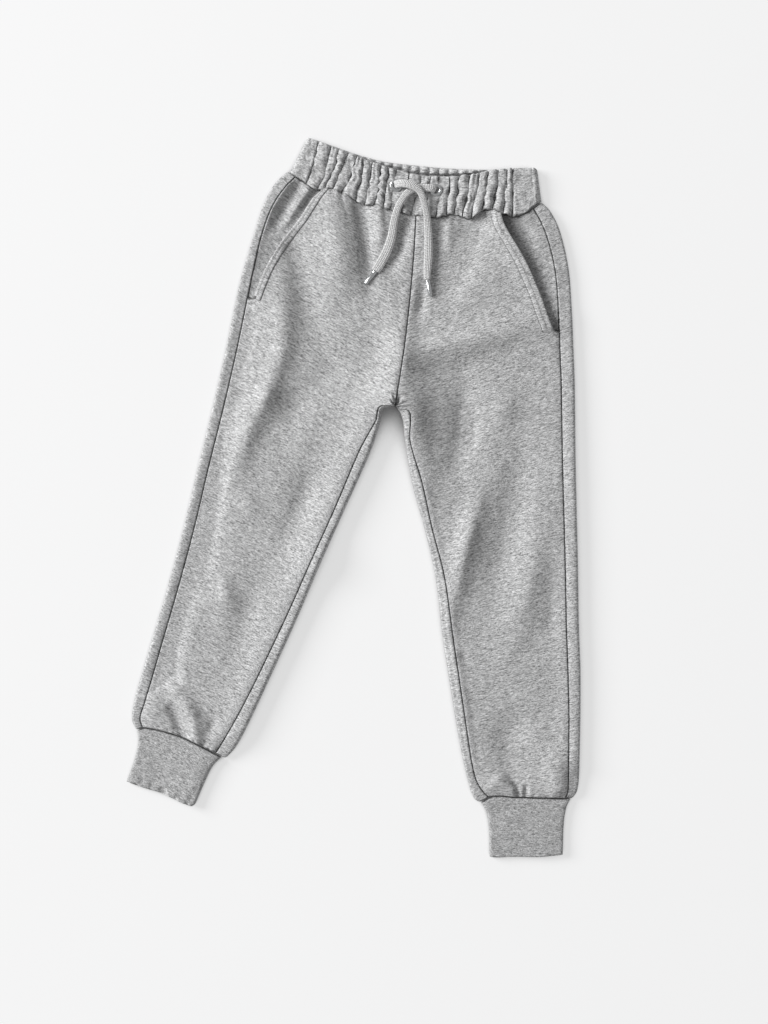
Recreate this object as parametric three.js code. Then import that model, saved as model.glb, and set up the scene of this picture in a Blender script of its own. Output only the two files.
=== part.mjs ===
// Jogger sweatpants for a child, laid flat with the front up and the legs apart.
// Millimetres. Looking down at the front, +X is to the right and +Y is towards the waist; +Z is up.
// The underside lies on z = 0 and the origin is under the middle of the outline.
// "right" and "left" are the wearer's, so the right leg is the one on the -X side.

import * as THREE from "three";

// Driving dimensions
const fleece = 2.6;          // thickness of one layer of the brushed fleece
const seamGap = 0.4;         // clear space between two sewn pieces
const rollRadius = 4;        // outer radius where the back panel turns up round the edge of a leg
const panelRise = 0.6;       // how far the front panel stands above those rolled edges
const riseWidth = 22;        // distance over which it gets there
const seamDip = 0.6;         // how deep the cloth is drawn in at a seam
const seamDipWidth = 2.5;
const crotchDown = 178;      // from the waist seam to the crotch, down the centre seam
const seamTurn = 7;          // the inseam climbs from the underside to the top side in this length
const hemRaise = 1.0;        // the turned and stitched edge of the pocket opening is an extra layer
const hemStep = 1.5;         // and comes down to the single layer in this width
const pocketTip = 128;       // from the waist seam to the lower end of a pocket opening
const pocketTuck = 13;       // how far the hip piece runs on under the front panel
const hipSeam = 6;           // the hip piece ends this far above the opening's lower end
const pocketFloor = 4.8;     // height of the hip piece where it lies under the front panel
const hipCloth = 1.9;        // the hip piece is a lighter layer
const hipSlope = 20;         // an opening this wide lets the hip piece rise to the top side
const layerGap = 0.3;        // between the hip piece and the top side there
const bandHeight = 11;       // both sides of the waistband, laid flat
const bandWall = 4.6;        // doubled fleece with the elastic inside
const bandRelief = 2.2;      // how far a gather stands above the valleys beside it
const bandRibs = 21;         // fine gathers along the waistband's inside at the back
const bandRibDepth = 0.8;
const waistDrop = 0.5;       // how far the panels are drawn down at the waist seam
const waistDropReach = 6;
const cuffDrop = 1.2;        // and at the cuff seam
const cuffDropReach = 7;
const waistBowReach = 55;    // the waist seam's curve carries on down the panels and dies out here
const cuffBowReach = 34;     // and the cuff seam's curve, up the leg
const cuffSeamReach = 22;    // and down the cuff
const cuffHemReach = 24;     // the cuff's lower edge bends only this much of it
const innerRollReach = 16;   // the rolled inner edge of a leg begins this far above the crotch
const foldFree = { outer: 8, outerFade: 12, inner: 7, innerFade: 10 }; // beside the rolled edges
const cuffHeight = 7;
const cuffWall = 3;          // doubled rib knit
const cordWidth = 8.4;
const cordThickness = 2.6;
const cordNeck = { share: 0.62, length: 9 }; // the cord is squeezed where it comes out of its eyelet
const eyelet = { outer: 5.8, inner: 3.1, height: 1.3, flat: 5.5, flatFade: 6 };
const aglet = { length: 16, radius: 2.2, tip: 1.6, collar: 0.8, nose: 1.2 };

const colours = {
  fleece: { color: 0xa9aaaa, roughness: 0.95, metalness: 0 },
  rib: { color: 0x9c9d9e, roughness: 0.95, metalness: 0 },
  cord: { color: 0xc3c4c4, roughness: 0.9, metalness: 0 },
  metal: { color: 0xb9bcc0, roughness: 0.25, metalness: 1 },
};

// The centre seam, which both legs share down to the crotch
const centreSeam = [
  { down: 0, x: 59.4, y: 266.2 },
  { down: 35, x: 57.4, y: 231 },
  { down: 70, x: 54.4, y: 195.5 },
  { down: 115, x: 49.5, y: 151 },
  { down: 150, x: 44.3, y: 114.6 },
  { down: 178, x: 39.2, y: 85.4 },
];

// Each leg's two edges as it lies. "seam" is how far in from that edge its seam lies on the top side.
// "down" is measured from the waist seam along the leg, and "pocket" gives the opening's distance from
// the outer edge. "hem" is the width of its turned edge. "cuffLine" is how far the cuff seam is drawn up
// between the leg's edges, and "cuffHem" how far the cuff's lower edge lies from a straight line.
const legs = {
  right: {
    length: 552,
    hem: 7.6,
    outer: [
      { down: 0, x: -62, y: 308, seam: 7.5 },
      { down: 13, x: -72.7, y: 299, seam: 9.5 },
      { down: 37, x: -84.6, y: 278.8, seam: 8.7 },
      { down: 70, x: -95, y: 247, seam: 7.5 },
      { down: 117, x: -108, y: 202.4, seam: 10.3 },
      { down: 178, x: -120.5, y: 142.8, seam: 10.5 },
      { down: 235, x: -133, y: 87.4, seam: 10.2 },
      { down: 293, x: -147, y: 30.4, seam: 10 },
      { down: 352, x: -160.5, y: -26.6, seam: 10 },
      { down: 411, x: -175.8, y: -83.6, seam: 10 },
      { down: 470, x: -192.6, y: -140.6, seam: 10.2 },
      { down: 500, x: -201, y: -169.1, seam: 10.5 },
      { down: 529, x: -208.5, y: -196.7, seam: 10 },
      { down: 544, x: -209.8, y: -211.9, seam: 8 },
      { down: 552, x: -206, y: -220.4, seam: 6.5 },
    ],
    inner: [
      { down: 178, x: 39.2, y: 85.4, seam: 0 },
      { down: 191, x: 28.2, y: 83.2, seam: 1.5 },
      { down: 205, x: 25, y: 69.4, seam: 4.5 },
      { down: 235, x: 15.8, y: 41.8, seam: 9.8 },
      { down: 293, x: -8.2, y: -11.7, seam: 8.8 },
      { down: 352, x: -32, y: -65.2, seam: 9 },
      { down: 411, x: -55.2, y: -119.3, seam: 10 },
      { down: 470, x: -80, y: -173.5, seam: 11 },
      { down: 500, x: -92.5, y: -200.5, seam: 12 },
      { down: 529, x: -105, y: -226.1, seam: 13.3 },
      { down: 544, x: -113, y: -239.2, seam: 12.5 },
      { down: 552, x: -121.1, y: -247.5, seam: 10 },
    ],
    pocket: [
      { down: 0, edge: 34 },
      { down: 37, edge: 36.4 },
      { down: 70, edge: 26 },
      { down: 93, edge: 20.5 },
      { down: 117, edge: 17.2 },
      { down: 128, edge: 15.9 },
    ],
    cuffLine: [
      { across: 0, rise: 0 },
      { across: 0.1, rise: 4.5 },
      { across: 0.4, rise: 7 },
      { across: 0.63, rise: 5.6 },
      { across: 0.88, rise: 1.9 },
      { across: 1, rise: 0 },
    ],
    cuff: [
      { down: 0, outerX: -204.6, outerY: -221.7, innerX: -125.6, innerY: -246.9 },
      { down: 10, outerX: -203.8, outerY: -231.6, innerX: -133.2, innerY: -255 },
      { down: 28, outerX: -207.6, outerY: -249.5, innerX: -140.1, innerY: -268.5 },
      { down: 50, outerX: -215.2, outerY: -270.2, innerX: -149.6, innerY: -291.5 },
    ],
    cuffHem: [
      { across: 0, rise: 0.4 },
      { across: 0.25, rise: -0.2 },
      { across: 0.52, rise: 0.2 },
      { across: 0.7, rise: -1.7 },
      { across: 0.88, rise: -3 },
      { across: 0.95, rise: -2.6 },
      { across: 1, rise: 0.8 },
    ],
  },
  left: {
    length: 567,
    hem: 10.4,
    outer: [
      { down: 0, x: 178.1, y: 280.7, seam: 7.6 },
      { down: 11, x: 186, y: 272.7, seam: 11.4 },
      { down: 32, x: 195.4, y: 253.7, seam: 13.2 },
      { down: 70, x: 204, y: 216.6, seam: 12.8 },
      { down: 111, x: 207.2, y: 175.3, seam: 12.6 },
      { down: 142, x: 208.5, y: 143.5, seam: 13 },
      { down: 178, x: 209.8, y: 108.3, seam: 13 },
      { down: 256, x: 210.7, y: 29, seam: 12.6 },
      { down: 347, x: 212.8, y: -63.1, seam: 12.2 },
      { down: 405, x: 213.7, y: -121.6, seam: 12 },
      { down: 447, x: 215.2, y: -165.3, seam: 12 },
      { down: 491, x: 215.1, y: -208.6, seam: 11 },
      { down: 530, x: 214.3, y: -248.7, seam: 10.6 },
      { down: 548, x: 213.8, y: -266.6, seam: 10.3 },
      { down: 561, x: 212, y: -279, seam: 9 },
      { down: 567, x: 208, y: -285.5, seam: 7 },
    ],
    inner: [
      { down: 178, x: 39.2, y: 85.4, seam: 0 },
      { down: 186, x: 43.8, y: 80, seam: 8.2 },
      { down: 195, x: 46.9, y: 71.8, seam: 7.2 },
      { down: 216, x: 48.9, y: 52.3, seam: 4.9 },
      { down: 256, x: 55.8, y: 13, seam: 9.2 },
      { down: 301, x: 67.8, y: -30.7, seam: 7 },
      { down: 347, x: 77.8, y: -75, seam: 8.3 },
      { down: 405, x: 84.6, y: -133, seam: 9.8 },
      { down: 447, x: 91.3, y: -175.2, seam: 9.4 },
      { down: 491, x: 98.1, y: -217.6, seam: 8.8 },
      { down: 530, x: 105.7, y: -256.5, seam: 7.4 },
      { down: 548, x: 110, y: -273.6, seam: 8 },
      { down: 561, x: 114.3, y: -285.5, seam: 10 },
      { down: 567, x: 119.2, y: -289.3, seam: 9 },
    ],
    pocket: [
      { down: 0, edge: 38.5 },
      { down: 11, edge: 44.3 },
      { down: 32, edge: 45.3 },
      { down: 70, edge: 35.8 },
      { down: 95, edge: 28 },
      { down: 111, edge: 23.6 },
      { down: 128, edge: 18 },
    ],
    cuffLine: [
      { across: 0, rise: 0 },
      { across: 0.3, rise: 1.6 },
      { across: 0.6, rise: 3.4 },
      { across: 0.86, rise: 5.2 },
      { across: 1, rise: 0 },
    ],
    cuff: [
      { down: 0, outerX: 205.6, outerY: -286.4, innerX: 121.6, innerY: -290 },
      { down: 8, outerX: 201.9, outerY: -294.6, innerX: 125.9, innerY: -298.2 },
      { down: 24, outerX: 199.5, outerY: -310, innerX: 128.7, innerY: -313.8 },
      { down: 52, outerX: 198.6, outerY: -340.2, innerX: 129.2, innerY: -342.2 },
    ],
    cuffHem: [
      { across: 0, rise: 0.6 },
      { across: 0.3, rise: -0.3 },
      { across: 0.7, rise: 0.4 },
      { across: 1, rise: 0.6 },
    ],
  },
};

// The waist seam and the two top edges of the waistband, each as a height for a place across
const waistSeam = [
  { x: -62, y: 308.2 },
  { x: -33, y: 291.8 },
  { x: -6, y: 283.6 },
  { x: 21, y: 275.6 },
  { x: 59.4, y: 266.2 },
  { x: 90, y: 265.2 },
  { x: 128, y: 267.6 },
  { x: 156, y: 271 },
  { x: 178.6, y: 280 },
];
const bandFrontTop = [
  { x: -45, y: 341.5 },
  { x: -33, y: 336.6 },
  { x: -18.5, y: 331 },
  { x: 4.3, y: 322.1 },
  { x: 27, y: 313.6 },
  { x: 43, y: 309.4 },
  { x: 61, y: 304.6 },
  { x: 96, y: 303.4 },
  { x: 111, y: 304.8 },
  { x: 131, y: 309.2 },
  { x: 158, y: 311.4 },
  { x: 174.6, y: 311.8 },
];
const bandBackTop = [
  { x: -45, y: 341.9 },
  { x: -33, y: 337.6 },
  { x: -18.5, y: 332.6 },
  { x: 4.3, y: 324.6 },
  { x: 27, y: 318.5 },
  { x: 60.3, y: 314.2 },
  { x: 96, y: 311.3 },
  { x: 131, y: 310.4 },
  { x: 158, y: 312 },
  { x: 174.6, y: 312.2 },
];
const bandEnds = {
  right: { seam: -60.5, top: -45 },
  left: { seam: 178.2, top: 174.6 },
};

// The valleys between the gathers of the waistband's front, at the seam and at the top edge
const gathers = [
  { seam: -44.5, top: -33 },
  { seam: -34, top: -21 },
  { seam: -27, top: -14 },
  { seam: -20, top: -5 },
  { seam: -11.5, top: 3 },
  { seam: 2.5, top: 9.5 },
  { seam: 10, top: 17.5 },
  { seam: 19.5, top: 26 },
  { seam: 28.5, top: 33 },
  { seam: 34.5, top: 41 },
  { seam: 44, top: 52.5 },
  { seam: 54, top: 64.5 },
  { seam: 66, top: 73 },
  { seam: 78, top: 81.5 },
  { seam: 88, top: 90.5 },
  { seam: 95.5, top: 99.5 },
  { seam: 102.5, top: 110 },
  { seam: 111, top: 119.5 },
  { seam: 121.5, top: 128 },
  { seam: 131.5, top: 137.5 },
  { seam: 142, top: 145.5 },
  { seam: 150, top: 151 },
];

// The largest folds, each a line through three points in plan, with its strength at both ends.
// A positive height is a ridge and a negative one a trough.
const folds = [
  { x1: -24, y1: 276, xm: -17, ym: 228, x2: -12, y2: 176, width: 12, height: 2, start: 0.7, end: 0 },
  { x1: -52, y1: 236, xm: -42, ym: 190, x2: -24, y2: 126, width: 12, height: -1.4, start: 0.2, end: 0.3 },
  { x1: -70, y1: 214, xm: -66, ym: 142, x2: -82, y2: 96, width: 11, height: 1.8, start: 0.2, end: 0.7 },
  { x1: -82, y1: 96, xm: -100, ym: 60, x2: -114, y2: 16, width: 10, height: 1.5, start: 1, end: 0.2 },
  { x1: -114, y1: 96, xm: -140, ym: -12, x2: -170, y2: -128, width: 8, height: -1.6, start: 0.9, end: 0.8 },
  { x1: -20, y1: 118, xm: -52, ym: 92, x2: -70, y2: 52, width: 13, height: -1.4, start: 0.5, end: 0.4 },
  { x1: 14, y1: 268, xm: 17, ym: 235, x2: 12, y2: 176, width: 9, height: -2.2, start: 1, end: 0.3 },
  { x1: 46, y1: 180, xm: 42, ym: 136, x2: 34, y2: 90, width: 14, height: 2, start: 0.2, end: 0.6 },
  { x1: 18, y1: 70, xm: -12, ym: 8, x2: -42, y2: -60, width: 12, height: 1.9, start: 0.3, end: 0.8 },
  { x1: -42, y1: -60, xm: -68, ym: -124, x2: -108, y2: -215, width: 11, height: 1.6, start: 1, end: 0.5 },
  { x1: -36, y1: 40, xm: -54, ym: 0, x2: -76, y2: -50, width: 9, height: -1.2, start: 0.2, end: 0 },
  { x1: -84, y1: -60, xm: -100, ym: -110, x2: -116, y2: -170, width: 12, height: -0.8, start: 0.2, end: 0.2 },
  { x1: -183.8, y1: -172, xm: -166, ym: -190, x2: -144, y2: -213.8, width: 7, height: 1.3, start: 0, end: 0.3 },
  { x1: -179, y1: -193, xm: -168.6, ym: -206, x2: -160, y2: -226, width: 5, height: -2, start: 0.1, end: 1 },
  { x1: -165, y1: -188, xm: -152, ym: -206, x2: -148.7, y2: -233, width: 6, height: 1.2, start: 0, end: 0.9 },
  { x1: 116, y1: 266, xm: 100, ym: 222, x2: 74, y2: 168, width: 12, height: -2.1, start: 0.7, end: 0 },
  { x1: 52, y1: 134, xm: 104, ym: 146, x2: 182, y2: 166, width: 14, height: 1.8, start: 0.9, end: 0.4 },
  { x1: 102, y1: 122, xm: 108, ym: 66, x2: 90, y2: 0, width: 11, height: -1.9, start: 0.2, end: 0 },
  { x1: 62, y1: 112, xm: 68, ym: 62, x2: 76, y2: 0, width: 13, height: 1.7, start: 0.5, end: 0.5 },
  { x1: 126, y1: 24, xm: 108, ym: -40, x2: 92, y2: -122, width: 10, height: 2.1, start: 0, end: 0.4 },
  { x1: 164, y1: 70, xm: 150, ym: -18, x2: 120, y2: -148, width: 12, height: -1.6, start: 0.2, end: 0 },
  { x1: 188, y1: 20, xm: 164, ym: -92, x2: 140, y2: -176, width: 11, height: 1.5, start: 0.2, end: 0 },
  { x1: 194, y1: 168, xm: 196, ym: 0, x2: 196, y2: -236, width: 10, height: 1.2, start: 0.3, end: 0.7 },
  { x1: 152, y1: -190, xm: 148, ym: -228, x2: 150, y2: -262, width: 13, height: -1.2, start: 0, end: 0.6 },
  { x1: 184, y1: -228, xm: 188, ym: -254, x2: 190, y2: -276, width: 10, height: 1.2, start: 0, end: 0.8 },
];

// The hip pieces dip and rise a little beside the side seam
const hipFolds = [
  { x1: -52, y1: 295, xm: -68, ym: 270, x2: -84, y2: 241, width: 4.5, height: -1.1, start: 1, end: 0 },
  { x1: -43, y1: 290.5, xm: -53, ym: 275, x2: -64, y2: 258, width: 4.5, height: 1.2, start: 1, end: 0 },
  { x1: 160, y1: 266, xm: 170, ym: 250, x2: 180, y2: 226, width: 5, height: 0.8, start: 0.6, end: 0 },
];

// The drawcord's two free ends, each from its eyelet over or under the other and down the front
const cordRoutes = {
  right: [
    [39.6, 295.2, 12.6],
    [42.6, 295.8, 15.2],
    [46.6, 295.8, 17.0],
    [51.2, 295.1, 17.9],
    [56, 293.6, 18.0],
    [60.4, 291, 17.6],
    [63.8, 286.6, 17.1],
    [66.4, 280.2, 16.4],
    [68.4, 272.4, 14.9],
    [69.8, 264.2, 13.1],
    [70.6, 255.2, 11.6],
    [71, 246, 10.9],
    [71.1, 237.2, 10.8],
    [70.9, 228.4, 10.8],
    [70.3, 218.8, 10.8],
    [69.9, 211, 10.8],
    [70.2, 205.4, 10.8],
  ],
  left: [
    [77.6, 290.4, 12.6],
    [74.4, 291.6, 14.2],
    [70.4, 292.2, 14.4],
    [65.4, 292.3, 14.0],
    [60.4, 292, 13.9],
    [55.6, 290.6, 14.0],
    [51, 287.2, 14.3],
    [46.8, 281.8, 14.4],
    [42.8, 274.6, 14.0],
    [40, 266.4, 12.9],
    [38.2, 258.2, 11.9],
    [36.9, 249.6, 11.3],
    [34.8, 241, 11.1],
    [31.6, 232.4, 11.0],
    [27.6, 224.6, 10.8],
    [23.6, 217.8, 10.6],
    [21, 213.9, 10.5],
  ],
};
const agletTips = {
  right: [73, 190.4, 10.6],
  left: [9.6, 199.6, 9.6],
};
const eyeletPlaces = {
  right: [40.4, 294.6],
  left: [78, 290.2],
};

const clamp = (value, low, high) => Math.min(Math.max(value, low), high);
const lerp = (a, b, t) => a + (b - a) * t;
const smooth = (t) => {
  const s = clamp(t, 0, 1);
  return s * s * (3 - 2 * s);
};
const bell = (distance, width) => Math.exp(-((distance / width) ** 2));

// A smooth curve through one column of a table, read at a value of its first column
function sample(rows, key, column, at) {
  let i = 0;
  while (i < rows.length - 2 && at > rows[i + 1][key]) i += 1;
  const slope = (k) => {
    const before = rows[Math.max(k - 1, 0)];
    const after = rows[Math.min(k + 1, rows.length - 1)];
    return (after[column] - before[column]) / (after[key] - before[key]);
  };
  const from = rows[i];
  const to = rows[i + 1];
  const span = to[key] - from[key];
  const t = clamp((at - from[key]) / span, 0, 1);
  const toWeight = t * t * (3 - 2 * t);
  const fromSlope = t * (1 - t) * (1 - t) * span * slope(i);
  const toSlope = t * t * (t - 1) * span * slope(i + 1);
  return from[column] * (1 - toWeight) + to[column] * toWeight + fromSlope + toSlope;
}

// How much the folds raise or lower the cloth at a place in plan
function foldRelief(table, x, y) {
  let relief = 0;
  for (const fold of table) {
    const points = [[fold.x1, fold.y1], [fold.xm, fold.ym], [fold.x2, fold.y2]];
    let nearest = Infinity;
    let along = 0;
    for (let k = 0; k < 2; k += 1) {
      const [ax, ay] = points[k];
      const [bx, by] = points[k + 1];
      const lengthSquared = (bx - ax) ** 2 + (by - ay) ** 2;
      const t = clamp(((x - ax) * (bx - ax) + (y - ay) * (by - ay)) / lengthSquared, 0, 1);
      const distance = Math.hypot(x - lerp(ax, bx, t), y - lerp(ay, by, t));
      if (distance < nearest) {
        nearest = distance;
        along = (k + t) / 2;
      }
    }
    const strength = along < 0.5
      ? lerp(fold.start, 1, smooth(along * 2))
      : lerp(1, fold.end, smooth(along * 2 - 1));
    relief += fold.height * strength * bell(nearest, fold.width);
  }
  return relief;
}

// One row across a leg: its two edge points, its width and the places of its seams
function legRow(leg, down) {
  const above = down <= crotchDown;
  const innerRows = above ? centreSeam : leg.inner;
  const outer = [sample(leg.outer, "down", "x", down), sample(leg.outer, "down", "y", down)];
  const inner = [sample(innerRows, "down", "x", down), sample(innerRows, "down", "y", down)];
  return {
    down,
    outer,
    inner,
    width: Math.hypot(inner[0] - outer[0], inner[1] - outer[1]),
    sideSeam: sample(leg.outer, "down", "seam", down),
    inseam: above ? 0 : Math.max(sample(leg.inner, "down", "seam", down), 0),
    wrap: clamp((down - crotchDown) / seamTurn, 0, 1),
    closed: smooth((down - crotchDown + innerRollReach) / innerRollReach),
  };
}

// The place in plan of a point u along a row from the outer edge
function rowPlace(leg, row, u) {
  const t = u / row.width;
  const start = leg.outer[0];
  const waistX = lerp(start.x, centreSeam[0].x, t);
  const waistY = lerp(start.y, centreSeam[0].y, t);
  const waistBow = (sample(waistSeam, "x", "y", waistX) - waistY) * (1 - smooth(row.down / waistBowReach));
  const cuffRise = sample(leg.cuffLine, "across", "rise", clamp(t, 0, 1));
  const cuffBow = cuffRise * smooth((row.down - leg.length + cuffBowReach) / cuffBowReach);
  return [
    lerp(row.outer[0], row.inner[0], t),
    lerp(row.outer[1], row.inner[1], t) + waistBow + cuffBow,
  ];
}

// The height of a leg's top side at u along a row, without the turned hem of the pocket
function topHeight(leg, row, u) {
  const fromOuter = u;
  const fromInner = row.width - u;
  const outerRise = smooth((fromOuter - rollRadius) / riseWidth);
  const innerRise = lerp(1, smooth((fromInner - rollRadius) / riseWidth), row.closed);
  const [x, y] = rowPlace(leg, row, u);
  const outerFade = smooth((fromOuter - foldFree.outer) / foldFree.outerFade);
  const innerFade = smooth((fromInner - foldFree.inner) / foldFree.innerFade);
  const foldFade = outerFade * lerp(1, innerFade, row.closed);
  const sideDip = seamDip * bell(fromOuter - row.sideSeam, seamDipWidth);
  const innerDip = seamDip * bell(fromInner - row.inseam, seamDipWidth);
  const waistDip = waistDrop * bell(row.down, waistDropReach);
  const cuffDip = cuffDrop * bell(leg.length - row.down, cuffDropReach);
  return 2 * rollRadius + panelRise * outerRise * innerRise
    + foldRelief(folds, x, y) * foldFade - sideDip - innerDip - waistDip - cuffDip;
}

// A point of a section: place along the row, height, the way its outer face looks, and the wall there
const sectionPoint = (u, z, nu, nz, thickness = fleece) => ({ u, z, nu, nz, thickness });

// The inner edge of a leg as a path from its flat underside up round the roll and back over the top
function innerEdgePoint(leg, row, path) {
  const quarter = (Math.PI / 2) * rollRadius;
  if (path <= 2 * quarter) {
    const angle = path / rollRadius - Math.PI / 2;
    const u = row.width - rollRadius + rollRadius * Math.cos(angle);
    return sectionPoint(u, rollRadius + rollRadius * Math.sin(angle), Math.cos(angle), Math.sin(angle));
  }
  const u = row.width - rollRadius - (path - 2 * quarter);
  return sectionPoint(u, topHeight(leg, row, u), 0, 1);
}

function inseamPath(row) {
  const quarter = (Math.PI / 2) * rollRadius;
  const overTop = Math.max(row.inseam - rollRadius, 0);
  return quarter + row.wrap * (quarter + overTop);
}

// The front panel's section from the pocket opening or side seam to the centre seam or inseam
function frontSection(leg, row) {
  const open = row.down < pocketTip;
  const edge = open ? sample(leg.pocket, "down", "edge", row.down) : row.sideSeam + seamGap / 2;
  const raise = open ? hemRaise : 0;
  const points = [];
  const addTop = (u, extra) => {
    points.push(sectionPoint(u, topHeight(leg, row, u) + extra, 0, 1, fleece + extra));
  };
  addTop(edge, raise);
  addTop(edge + leg.hem, raise);
  const mainStart = edge + leg.hem + hemStep;
  addTop(mainStart, 0);
  const mainSteps = 12;
  const endMargin = 6;
  const margin = endMargin + row.wrap * row.inseam;
  const mainEnd = row.width - margin;
  for (let k = 1; k <= mainSteps; k += 1) {
    addTop(lerp(mainStart, mainEnd, k / mainSteps), 0);
  }
  const endSteps = 3;
  const aboveCrotch = row.down < crotchDown - 1;
  const pathStart = Math.PI * rollRadius + margin - rollRadius;
  const pathEnd = inseamPath(row) + seamGap / 2;
  for (let k = 1; k <= endSteps; k += 1) {
    if (aboveCrotch) {
      addTop(lerp(mainEnd, row.width - seamGap / 2, k / endSteps), 0);
    } else {
      points.push(innerEdgePoint(leg, row, lerp(pathStart, pathEnd, k / endSteps)));
    }
  }
  return points;
}

// The back panel's section from the side seam on top, round the outer roll, under the leg, and on
// to the centre seam or, below the crotch, round the inner roll to the inseam on top
function backSection(leg, row) {
  const points = [];
  const stripSteps = 2;
  const stripStart = row.sideSeam - seamGap / 2;
  for (let k = 0; k < stripSteps; k += 1) {
    const u = lerp(stripStart, rollRadius, k / stripSteps);
    points.push(sectionPoint(u, topHeight(leg, row, u), 0, 1));
  }
  const arcSteps = 4;
  const top = topHeight(leg, row, rollRadius);
  for (let k = 0; k <= arcSteps; k += 1) {
    const angle = Math.PI / 2 + (Math.PI * k) / arcSteps;
    const drop = (top / (2 * rollRadius) - 1) * (1 + Math.sin(angle)) * rollRadius;
    const z = rollRadius + rollRadius * Math.sin(angle) + drop;
    const u = rollRadius + rollRadius * Math.cos(angle);
    points.push(sectionPoint(u, z, Math.cos(angle), Math.sin(angle)));
  }
  const underSteps = 6;
  for (let k = 1; k <= underSteps; k += 1) {
    points.push(sectionPoint(lerp(rollRadius, row.width - rollRadius, k / underSteps), 0, 0, -1));
  }
  const endSteps = 5;
  const aboveCrotch = row.down < crotchDown - 1;
  for (let k = 1; k <= endSteps; k += 1) {
    if (aboveCrotch) {
      const u = lerp(row.width - rollRadius, row.width - seamGap / 2, k / endSteps);
      points.push(sectionPoint(u, 0, 0, -1));
    } else {
      const path = (inseamPath(row) - seamGap / 2) * (k / endSteps);
      points.push(innerEdgePoint(leg, row, path));
    }
  }
  return points;
}

// The hip piece's section from the side seam to where it ends under the front panel
function hipSection(leg, row) {
  const edge = sample(leg.pocket, "down", "edge", row.down);
  const start = row.sideSeam + seamGap / 2;
  const edgeClear = 2.5;
  const foldEnd = 6;
  const steps = 7;
  const points = [];
  for (let k = 0; k <= steps; k += 1) {
    const u = lerp(start, edge + pocketTuck, k / steps);
    const visible = Math.max(edge - start, 1);
    const rise = (2 * rollRadius - layerGap - pocketFloor) * smooth((edge - start) / hipSlope);
    const level = pocketFloor + rise * smooth((edge - edgeClear - u) / visible);
    const [x, y] = rowPlace(leg, row, u);
    const foldFade = smooth((edge - edgeClear - u) / foldEnd);
    const relief = foldRelief(hipFolds, x, y) * foldFade;
    points.push(sectionPoint(u, level + Math.max(relief, pocketFloor - level), 0, 1, hipCloth));
  }
  return points;
}

// Turns sections into rows of wall points, each with its outer and inner place
function wallRows(leg, downs, section) {
  return downs.map((down) => {
    const row = legRow(leg, down);
    return section(leg, row).map((point) => {
      const [x, y] = rowPlace(leg, row, point.u);
      const [innerX, innerY] = rowPlace(leg, row, point.u - point.thickness * point.nu);
      return {
        outer: new THREE.Vector3(x, y, point.z),
        inner: new THREE.Vector3(innerX, innerY, point.z - point.thickness * point.nz),
      };
    });
  });
}

// A closed wall from rows of points. A looped wall joins its last column to its first.
function wallGeometry(rows, looped = false) {
  const rowCount = rows.length;
  const columnCount = rows[0].length;
  const positions = [];
  for (const face of ["outer", "inner"]) {
    for (const row of rows) {
      for (const point of row) positions.push(point[face].x, point[face].y, point[face].z);
    }
  }
  const outerAt = (r, c) => r * columnCount + (c % columnCount);
  const innerAt = (r, c) => rowCount * columnCount + outerAt(r, c);
  const indices = [];
  const quad = (a, b, c, d) => indices.push(a, b, c, a, c, d);
  const lastColumn = looped ? columnCount : columnCount - 1;
  for (let r = 0; r < rowCount - 1; r += 1) {
    for (let c = 0; c < lastColumn; c += 1) {
      quad(outerAt(r, c), outerAt(r, c + 1), outerAt(r + 1, c + 1), outerAt(r + 1, c));
      quad(innerAt(r, c), innerAt(r + 1, c), innerAt(r + 1, c + 1), innerAt(r, c + 1));
    }
  }
  for (let c = 0; c < lastColumn; c += 1) {
    const end = rowCount - 1;
    quad(outerAt(0, c), innerAt(0, c), innerAt(0, c + 1), outerAt(0, c + 1));
    quad(outerAt(end, c), outerAt(end, c + 1), innerAt(end, c + 1), innerAt(end, c));
  }
  if (!looped) {
    const end = columnCount - 1;
    for (let r = 0; r < rowCount - 1; r += 1) {
      quad(outerAt(r, 0), outerAt(r + 1, 0), innerAt(r + 1, 0), innerAt(r, 0));
      quad(outerAt(r, end), innerAt(r, end), innerAt(r + 1, end), outerAt(r + 1, end));
    }
  }
  return facingOut(positions, indices);
}

// Builds the geometry and turns every face round if the volume comes out negative
function facingOut(positions, indices) {
  const at = (i) => new THREE.Vector3(positions[3 * i], positions[3 * i + 1], positions[3 * i + 2]);
  let volume = 0;
  for (let i = 0; i < indices.length; i += 3) {
    volume += at(indices[i]).dot(at(indices[i + 1]).cross(at(indices[i + 2])));
  }
  if (volume < 0) {
    for (let i = 0; i < indices.length; i += 3) {
      [indices[i + 1], indices[i + 2]] = [indices[i + 2], indices[i + 1]];
    }
  }
  const geometry = new THREE.BufferGeometry();
  geometry.setAttribute("position", new THREE.Float32BufferAttribute(positions, 3));
  geometry.setIndex(indices);
  geometry.computeVertexNormals();
  return geometry;
}

function mesh(name, geometry, finish) {
  const made = new THREE.Mesh(geometry, new THREE.MeshStandardMaterial(colours[finish]));
  made.name = name;
  return made;
}

// Rows down a leg: closer together at the waist, the pocket's end, the crotch and the cuff
function legDowns(leg, first, last) {
  const near = [
    0.3, 7, 20, 37, 55, 73, 91, 109, 122, 127.8, 133, 150, 164, 172, 178, 181, 185, 191, 198, 208,
  ];
  const far = [];
  const farStart = 228;
  const farSteps = 11;
  const farEnd = leg.length - 40;
  for (let k = 0; k <= farSteps; k += 1) far.push(lerp(farStart, farEnd, k / farSteps));
  const cuffRows = [28, 18, 10, 4, 0.2].map((up) => leg.length - up);
  return [...near, ...far, ...cuffRows].filter((down) => down >= first && down <= last);
}

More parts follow.
